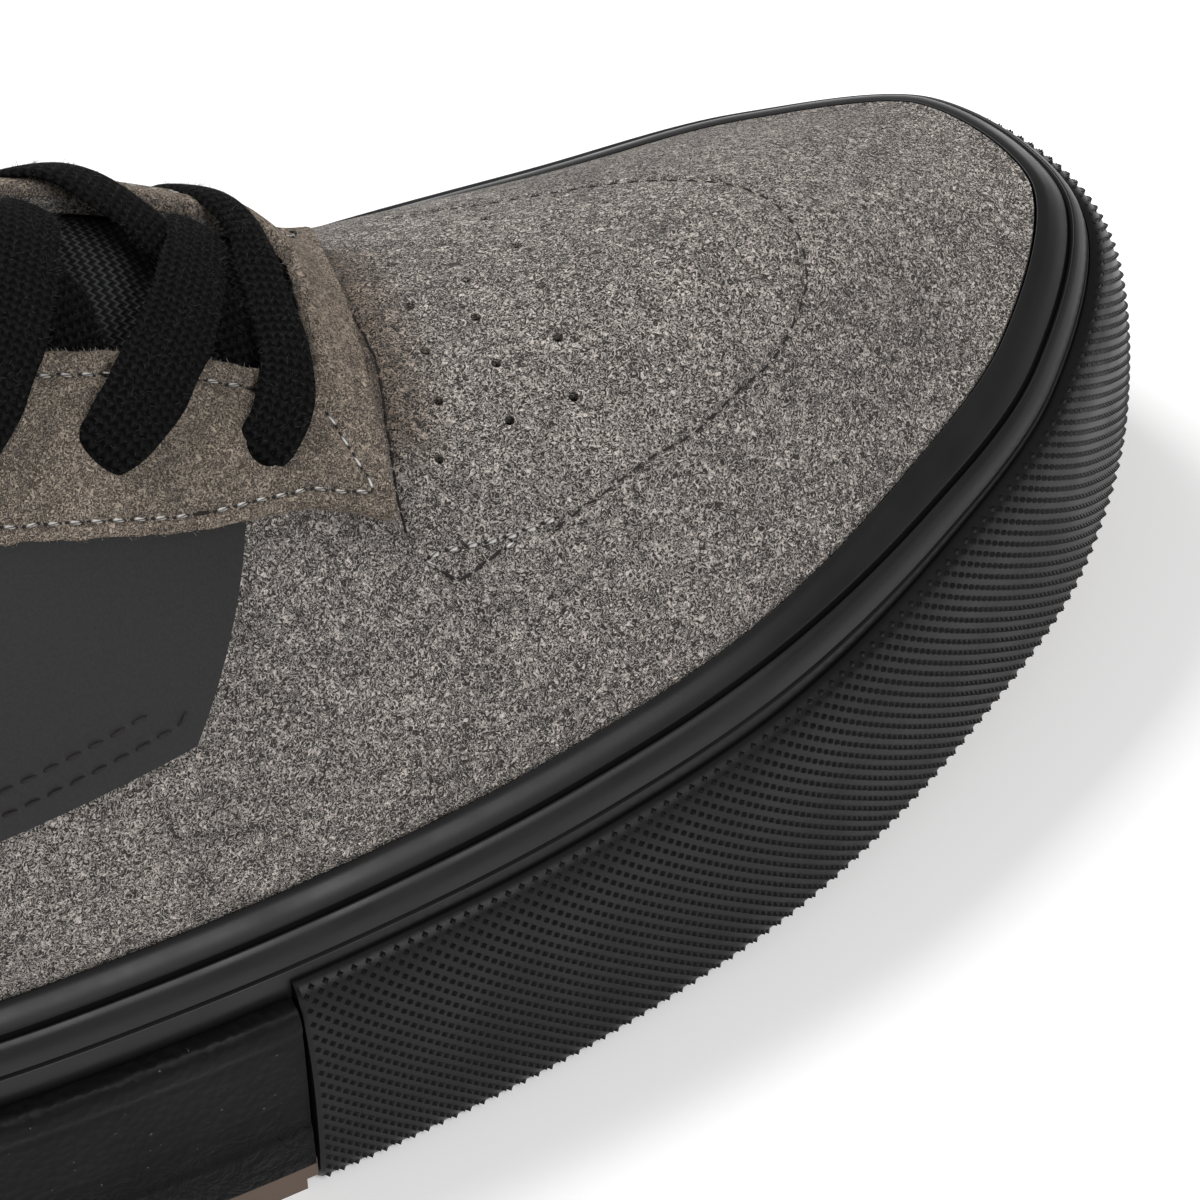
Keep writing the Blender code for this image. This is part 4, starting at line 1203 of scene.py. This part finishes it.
def collar_profile(shift=0.0):
    table = np.array(COLLAR_LINE)
    places = np.linspace(table[0, 0], table[-1, 0], 70)
    heights = smooth_line(table[:, 0], table[:, 1], places)[:, 0]
    return np.column_stack([places * SOLE_LENGTH, heights * COLLAR_HEIGHT + shift])


def above_collar():
    """A cutter that holds all that lies over the collar line."""
    line = collar_profile()
    corners = [(line[-1, 0], OVER_ALL), (line[0, 0], OVER_ALL)]
    return prism("collar_cut", np.vstack([line, corners]), -SOLE_WIDTH, SOLE_WIDTH, axis=1)


def hole_pins():
    return pins("hole_cut", [place for pair in HOLES for place in pair], EYELET_WIDTH / 2)


def build_upper():
    upper = shell("suede_upper", -WALL, 0.0, 0, LOOKS["suede"], slot="suede", cad=("upper",))
    for name, channel in SEAM_CHANNELS.items():
        press(upper, SEAMS[name], *channel)
    throat = prism("throat_cut", throat_outline(0.5 * MM), THROAT_CUT_LOW, OVER_ALL)
    dots = pins("dot_cut", np.vstack(HOLE_ROWS) * MM, PERFORATION_RADIUS, 12)
    cutters = (above_collar(), throat, hole_pins(), dots)
    carve(upper, *cutters)
    discard(*cutters)
    sharpen(upper, 60)


def eyestay_edges():
    """Matching points of the eyestay's inner and outer edge, as places along and tape lengths."""
    front_in = THROAT_FRONT
    front_out = THROAT_FRONT + FRONT_BAR
    alongs = np.linspace(EYESTAY_BACK, front_in - THROAT_CORNER, 150)
    halves = [tape_to(along, throat_half_width(along)) for along in alongs]
    inner = list(zip(alongs, halves))
    outer = [(along, half + facing_width(along)) for along, half in inner]
    half = halves[-1] - THROAT_CORNER
    turn = np.linspace(0, np.pi / 2, 45)[1:]
    for angle in turn:
        along = front_in - THROAT_CORNER + THROAT_CORNER * math.sin(angle)
        inner.append((along, halves[-1] - THROAT_CORNER * (1 - math.cos(angle))))
    bend = np.array((front_out, halves[-1] + facing_width(front_out)))
    path = [outer[-1]]
    for u in np.linspace(0, 1, 6):
        start, finish = bend - (EYESTAY_CORNER, 0), bend - (0, EYESTAY_CORNER)
        path.append((1 - u) ** 2 * start + 2 * u * (1 - u) * bend + u**2 * finish)
    path.append((front_out, half))
    outer += resample_to(np.array(path), len(turn) + 1)[1:].tolist()
    for tape in np.linspace(half, 0, 12)[1:]:
        inner.append((front_in, tape))
        outer.append((front_out, tape))
    mirror = (1, -1)
    edges = (np.array(inner), np.array(outer))
    return [np.vstack([edge * mirror, edge[-2::-1]]) for edge in edges]


def resample_to(points, count):
    lengths = lengths_along(points)
    at = np.linspace(0, lengths[-1], count)
    return np.stack([np.interp(at, lengths, points[:, k]) for k in range(points.shape[1])], 1)


def tape_plan(rows):
    """Plan places of rows of places along and tape lengths, with the front's slant."""
    rows = np.asarray(rows)
    return slanted(np.column_stack([rows[:, 0], tape_across(rows[:, 0], rows[:, 1])]))


def row_lines():
    """The eyestay's stitch rows in plan: near its outer edge and along the throat, on both sides."""
    inner, outer = EDGES
    outward = (outer - inner) / np.linalg.norm(outer - inner, axis=1)[:, None]
    middle = len(inner) // 2
    halves = {"outer": (-1, slice(0, middle + 1)), "inner": (1, slice(None, middle - 1, -1))}
    rows = {}
    for name, (sign, half) in halves.items():
        line = (outer - outward * ROW_OUT)[half]
        plan = tape_plan(line[line[:, 0] < ROW_FRONT])
        front = np.array(FRONT_ROW) * MM
        front = np.column_stack([front[:, 0], ridge_across(front[:, 0]) + sign * front[:, 1]])
        rows[f"edge_{name}"] = resample(np.vstack([plan[:-3], slanted(front)]), SEAM_STEP)
        line = (inner + outward * ROW_IN)[half]
        side = line[line[:, 0] < THROAT_FRONT - THROAT_CORNER]
        rows[f"throat_{name}"] = resample(tape_plan(side), SEAM_STEP)
    return rows


EDGES = eyestay_edges()
ROWS = row_lines()


def near(points, line, width):
    """For each point how near it is to a line, from 0 to 1."""
    tree = tree_of(line)
    away = np.array([tree.find(point)[2] for point in points])
    return np.exp(-((away / width) ** 2))


def raggedness(count):
    """Small even-handed offsets of a cut edge, for each of its points."""
    return np.convolve(CHANCE.normal(0, 1, count + 4), np.ones(3) / 3, "same")[2:-2]


def build_eyestay():
    """The suede facing round the laces: raw cut edges and channels under its stitch rows."""
    inner, outer = EDGES
    widths = np.linalg.norm(outer - inner, axis=1)
    outward = (outer - inner) / widths[:, None]
    rough_in = raggedness(len(inner)) * 0.2 * MM
    rough_out = raggedness(len(inner)) * 0.16 * MM
    marks = np.vstack([on_upper(line)[0] for line in ROWS.values()])
    rows, tops = [], []
    for share in np.linspace(0, 1, 56):
        line = inner + (outer - inner) * share
        line = line + outward * (rough_out * share**8 - rough_in * (1 - share) ** 8)[:, None]
        plan = tape_plan(line)
        rows.append(plan)
        edge = np.minimum(share, 1 - share) * widths
        rounding = np.sqrt(1 - np.clip(1 - edge / CUT_EDGE_WIDTH, 0, 1) ** 2)
        drop = CUT_EDGE_DROP * (1 - rounding)
        drop = drop + STITCH_CHANNEL[0] * near(on_upper(plan)[0], marks, STITCH_CHANNEL[1])
        tops.append(GAP + OVERLAY - drop)
    outs = (np.full(np.shape(tops), EYESTAY_LIFT), np.array(tops))
    options = {"slot": "suede", "cad": ("eyestay",)}
    piece = patch("suede_eyestay", rows, outs, LOOKS["suede_warm"], **options)
    cutters = (hole_pins(), above_collar())
    carve(piece, *cutters)
    discard(*cutters)
    sharpen(piece, 50)
    return rows


def build_eyestay_threads():
    """The stitch rows of the eyestay, which stop short of the collar's edge."""
    collar = collar_profile(-1.5 * MM)
    for name, plan in ROWS.items():
        points, normals = on_upper(plan, GAP + OVERLAY - STITCH_DEPTH)
        kept = points[:, 2] < np.interp(points[:, 0], collar[:, 0], collar[:, 1])
        kept &= points[:, 0] > THROAT_BACK + 17 * MM
        stitches(f"{name}_stitches", points[kept], normals[kept], LOOKS["thread"], "eyestay")


def build_vamp_threads():
    """The dark seams on toe and vamp, and the tacks that end the toe seam."""
    for name, sunk in SEAM_THREADS.items():
        points, normals = SEAMS[name]
        stitches(f"{name}_seam", points - normals * sunk, normals, LOOKS["dark_thread"], name)
    for name, places in TACKS.items():
        points, normals = on_upper(curved(np.array(places) * MM, 0.3 * MM))
        sunk = points - normals * 0.04 * MM
        stitches(f"bar_tack_{name}", sunk, normals, LOOKS["thread"], f"tack_{name}")


def panel_outline():
    return np.array(SIDE_PANEL) * (SOLE_LENGTH, WELT_HEIGHT)


def build_panels():
    """Plain straight-edged panels tucked against the eyestay on both sides."""
    inner, outer = EDGES
    outward = (outer - inner) / np.linalg.norm(outer - inner, axis=1)[:, None]
    clear = prism("panel_clear", tape_plan(outer + outward * 0.3 * MM), 0, OVER_ALL)
    for side, low, high in (("outer", -SOLE_WIDTH, 0.0), ("inner", 0.0, SOLE_WIDTH)):
        options = {"slot": "panel_leather", "cad": (f"side_panel_{side}",)}
        bounds = (PANEL_LIFT, GAP + PANEL, 3)
        panel = shell(f"leather_panel_{side}", *bounds, LOOKS["panel"], **options)
        shape = prism("panel_shape", panel_outline(), low, high, axis=1)
        carve(panel, (shape, "INTERSECT"), clear)
        discard(shape)
        sharpen(panel, 40)
    discard(clear)
    build_panel_threads()


def on_side(places, sign, out):
    """Points over one side of the upper at places along and heights, and the directions out."""
    tree = BVHTree.FromPolygons(DOME.reshape(-1, 3).tolist(), dome_faces(1, 0))
    points, normals = [], []
    for along, high in places:
        start = Vector((along, sign * SOLE_WIDTH, high))
        place, normal, _, _ = tree.ray_cast(start, Vector((0, -sign, 0)))
        if place is not None:
            normal = normal if normal.y * sign > 0 else -normal
            points.append(place + normal * out)
            normals.append(normal)
    return np.array(points), np.array(normals)


def build_panel_threads():
    """Two stitch rows along the free edges of each side panel, clear of the eyestay above."""
    corners = panel_outline()
    for number, distance in enumerate(PANEL_ROWS):
        line = [corners[k] + np.array(move) * distance for k, move in PANEL_ROW]
        line = resample(line, 0.5 * MM)
        for sign, side in ((-1, "outer"), (1, "inner")):
            points, normals = on_side(line, sign, GAP + PANEL + 0.02 * MM)
            reach = PANEL_TOP + PANEL_SLOPE * (SOLE_LENGTH / 2 - points[:, 0])
            clear = points[:, 2] < reach
            name = f"panel_stitches_{side}_{number}"
            stitches(name, points[clear], normals[clear], LOOKS["dark_thread"], "panel")


# Tongue, collar and laces

def tongue_rows():
    """Plan grid of the tongue from its tucked front to its free end."""
    count, across = TONGUE_GRID
    shares = np.linspace(0, 1, count)
    alongs = THROAT_FRONT + FRONT_BAR - shares * (TONGUE_LENGTH + 3 * MM)
    halves = TONGUE_WIDTH / 2 * (0.72 + 0.28 * np.sin(np.pi / 2 * shares))
    halves *= np.sqrt(1 - 0.75 * np.clip((shares - 0.93) / 0.07, 0, 1) ** 2)
    rows = []
    for along, half in zip(alongs, halves):
        place = np.full(across, along)
        tapes = np.linspace(-1, 1, across) * half
        rows.append(np.column_stack([place, tape_across(place, tapes)]))
    return rows


def build_tongue():
    """The tongue: a soft pad under the laces, thin at its edges, with faint ribs across."""
    rows = tongue_rows()
    outer = -WALL - GAP
    u = np.linspace(0, 1, len(rows))[:, None]
    v = np.abs(np.linspace(-1, 1, len(rows[0])))[None, :]
    edge = np.minimum((1 - v) * TONGUE_WIDTH / 2, np.minimum(u, 1 - u) * TONGUE_LENGTH)
    soft = 1 - np.clip(1 - edge / TONGUE_SOFT_EDGE, 0, 1) ** 2
    ribs = TONGUE_RIB * np.sin(u * 40) * (v < 0.8)
    low = outer - TONGUE_THICKNESS * (0.5 + 0.5 * soft)
    high = outer - TONGUE_THICKNESS * 0.5 * (1 - soft) - TONGUE_RIB + ribs
    options = {"slot": "black_textile", "cad": ("tongue",)}
    piece = patch("knit_tongue", rows, (low, high), LOOKS["mesh"], **options)


def ankle_walls():
    """Dome columns round the ankle from front to front, each with the collar line's height on it."""
    collar = collar_profile()
    reach = COLLAR_LINE[-3][0] * SOLE_LENGTH
    walls = []
    for column in np.roll(np.arange(COLUMNS), COLUMNS // 2):
        line = DOME[column]
        over = line[:, 2] - np.interp(line[:, 0], collar[:, 0], collar[:, 1])
        crossed = np.flatnonzero(over > 0)
        if len(crossed) and line[crossed[0], 0] < reach:
            k = crossed[0]
            share = -over[k - 1] / (over[k] - over[k - 1])
            walls.append((column, line[k - 1, 2] + share * (line[k, 2] - line[k - 1, 2])))
    return walls


def build_collar():
    """The padded cuff inside the ankle opening, and the thin lining below it down to the insole."""
    rises, depths = np.array(CUFF_SECTION).T * MM
    walls = ankle_walls()
    foremost = max(DOME[column, 1, 0] for column, _ in walls)
    rings = []
    for column, level in walls:
        below = np.linspace(level - CUFF_DEPTH, LINING_LOW, 8)[1:]
        heights = np.concatenate([level + rises, below, below[::-1]])
        taper = np.clip((foremost - DOME[column, 1, 0]) / CUFF_TAPER, 0.0, 1.0)
        cuff = depths * (0.25 + 0.75 * taper * (2 - taper))
        depth = np.concatenate([cuff, [LINING] * len(below), [0.0] * len(below)])
        top = int(np.argmax(DOME[column, :, 2])) + 1
        line, out = DOME[column, :top], DOME_OUT[column, :top]
        normal = read_at(heights, line[:, 2], out)
        place = read_at(heights, line[:, 2], line)
        rings.append(place - normal * (WALL + 0.1 * MM + depth)[:, None])
    faces = tube_faces(len(rings), len(rings[0]))
    options = {"slot": "black_textile", "cad": ("collar",)}
    collar = new_piece("padded_cuff", np.vstack(rings), faces, LOOKS["lining"], **options)


def smoothed(rows, rounds):
    """Rows whose inner ones are averaged with their neighbours, round after round."""
    for _ in range(rounds):
        rows[1:-1] = (rows[:-2] + 2 * rows[1:-1] + rows[2:]) / 4
    return rows


def ribbon(name, knots):
    """A flat woven strand from rows of place along, place across, height over the upper and width."""
    steps, sides = 90, 28
    lengths = lengths_along(knots[:, :3])
    rows = smooth_line(lengths / lengths[-1], knots, np.linspace(0, 1, steps))
    centre, normal = on_upper(rows[:, :2], rows[:, 2])
    wide = rows[:, 3]
    centre = smoothed(centre, 4)
    normal = smoothed(normal, 30)
    heading = unit(np.gradient(centre, axis=0))
    side = unit(np.cross(heading, normal))
    up = np.cross(side, heading)
    points, maps = [], []
    run = lengths_along(centre)
    wave = CHANCE.uniform(0, 6)
    for k in range(steps):
        edge = 0.10 * MM * math.sin(run[k] / (1.3 * MM) + wave)
        for angle in 2 * np.pi * np.arange(sides) / sides:
            c, s = math.cos(angle), math.sin(angle)
            flat = np.sign(c) * abs(c) ** 0.8 * (wide[k] / 2 + edge)
            high = np.sign(s) * abs(s) ** 0.75 * LACE_THICKNESS * 0.46
            high += 0.20 * MM * (1 - (flat / (0.5 * wide[k])) ** 2)
            points.append(centre[k] + side[k] * flat + up[k] * high)
            maps.append((run[k] / YARN_WIDTH, flat / YARN_WIDTH))
    faces = tube_faces(steps, sides, turned=True)
    piece = new_piece(name, points, faces, LOOKS["lace"], slot="lace")
    layer = piece.data.uv_layers.new(name="strand")
    index = np.empty(len(piece.data.loops), np.int32)
    piece.data.loops.foreach_get("vertex_index", index)
    layer.data.foreach_set("uv", np.array(maps, np.float32)[index].reshape(-1))
    return piece, centre, up, wide


def strand(table, old, new):
    """A table's strand moved from the hole that it was drawn at to another hole of its side."""
    knots = np.array(table, float) * (MM, MM, MM, LACE_WIDTH)
    share = np.clip(knots[:, 1] / old[1], 0, 1)
    knots[:, 0] += new[0] - old[0]
    knots[:, 1] += (new[1] - old[1]) * share
    return knots


def build_laces():
    """The first bar straight across, then a crossing for each further pair through its holes."""
    made = [ribbon("lace_run_front", strand(STRAND_BAR, HOLES[0][0], HOLES[0][0]))]
    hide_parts("lace_bar")
    for pair in range(1, EYELET_PAIRS):
        over = strand(STRAND_OVER, HOLES[1][0], HOLES[pair][0])
        under = strand(STRAND_UNDER, HOLES[1][1], HOLES[pair][1])
        made.append(ribbon(f"lace_run_over_{pair}", over))
        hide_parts(f"lace_crossing_{pair}")
        made.append(ribbon(f"lace_run_under_{pair}", under))
    return made


def build_fuzz(strands, eyestay_rows):
    """Loose fibres on the cut suede edges and on the laces."""
    roots, outs = [], []
    for row, pull in (eyestay_rows[:2], eyestay_rows[:-3:-1]):
        edge = resample_to(row, EDGE_FIBRES)
        inside = resample_to(pull, EDGE_FIBRES)
        out = unit(np.column_stack([edge - inside, np.zeros(len(edge))]))
        points, normals = on_upper(edge, CHANCE.uniform(0.2, 1.25, len(edge)) * MM)
        roots.append(points)
        outs.append(out + normals * 0.6)
    fuzz("edge_fibres", np.vstack(roots), np.vstack(outs), LOOKS["fibre"], *EDGE_FIBRE_SIZE)
    roots, outs = [], []
    for _, centre, up, wide in strands:
        pick = CHANCE.integers(2, len(centre) - 2, LACE_FIBRES)
        heading = unit(np.gradient(centre, axis=0)[pick])
        side = np.cross(heading, up[pick])
        angle = CHANCE.uniform(-0.2, math.pi + 0.2, LACE_FIBRES)[:, None]
        out = side * np.cos(angle) + up[pick] * np.sin(angle)
        flat = side * np.cos(angle) * 0.48 * wide[pick][:, None]
        roots.append(centre[pick] + flat + up[pick] * np.sin(angle) * 0.6 * LACE_THICKNESS)
        outs.append(out)
    fuzz("lace_fibres", np.vstack(roots), np.vstack(outs), LOOKS["black_fibre"], *LACE_FIBRE_SIZE)


def dress_nodes():
    """Materials for the solids that stay as they are."""
    for name, look in (("outsole", "gum"), ("midsole", "foam"), ("insole", "lining")):
        mesh = NODES[name].data
        mesh.materials.clear()
        mesh.materials.append(LOOKS[look])


# Floor, lights and camera

def build_stage():
    mesh = bpy.data.meshes.new("floor")
    corners = [(x * FLOOR_HALF, y * FLOOR_HALF, 0) for x, y in ((-1, -1), (1, -1), (1, 1), (-1, 1))]
    mesh.from_pydata(corners, [], [(0, 1, 2, 3)])
    floor = add_object("floor", mesh)
    paper, _, shader = shaded("pale_floor", (0.92, 0.92, 0.92), 0.9, Specular_IOR_Level=0.1)
    shader.inputs["Emission Color"].default_value = (1, 1, 1, 1)
    shader.inputs["Emission Strength"].default_value = 0.2
    mesh.materials.append(paper)
    world = bpy.data.worlds.new("studio")
    bpy.context.scene.world = world
    world.use_nodes = True
    sky = world.node_tree.nodes["Background"]
    sky.inputs["Color"].default_value = (1, 1, 1, 1)
    sky.inputs["Strength"].default_value = 0.27
    bpy.context.scene.view_settings.view_transform = "Standard"
    for name, place, size, power in LIGHTS:
        light = bpy.data.lights.new(name, "AREA")
        light.shape = "SQUARE"
        light.size = size
        light.energy = power
        lamp = add_object(name, light)
        lamp.location = place
        aim = Vector(LIGHT_AIM) - Vector(place)
        lamp.rotation_euler = aim.to_track_quat("-Z", "Y").to_euler()


def build_camera():
    level = math.cos(ELEVATION)
    back = Vector((-math.sin(AZIMUTH) * level, -math.cos(AZIMUTH) * level, math.sin(ELEVATION)))
    right = Vector((math.cos(AZIMUTH), -math.sin(AZIMUTH), 0))
    up = back.cross(right)
    rolled_right = right * math.cos(ROLL) + up * math.sin(ROLL)
    rolled_up = up * math.cos(ROLL) - right * math.sin(ROLL)
    lens = bpy.data.cameras.new("photo_camera")
    lens.sensor_width = 36
    lens.lens = FOCAL_LENGTH
    camera = add_object("photo_camera", lens)
    matrix = Matrix((rolled_right, rolled_up, back)).transposed().to_4x4()
    matrix.translation = Vector(CAMERA_TARGET) + back * CAMERA_DISTANCE
    camera.matrix_world = matrix
    bpy.context.scene.camera = camera


def build_shoe():
    build_welt()
    build_tape()
    build_bumper()
    build_upper()
    rows = build_eyestay()
    build_eyestay_threads()
    build_vamp_threads()
    build_panels()
    build_tongue()
    build_collar()
    build_fuzz(build_laces(), rows)
    dress_nodes()


build_camera()
build_stage()
build_shoe()
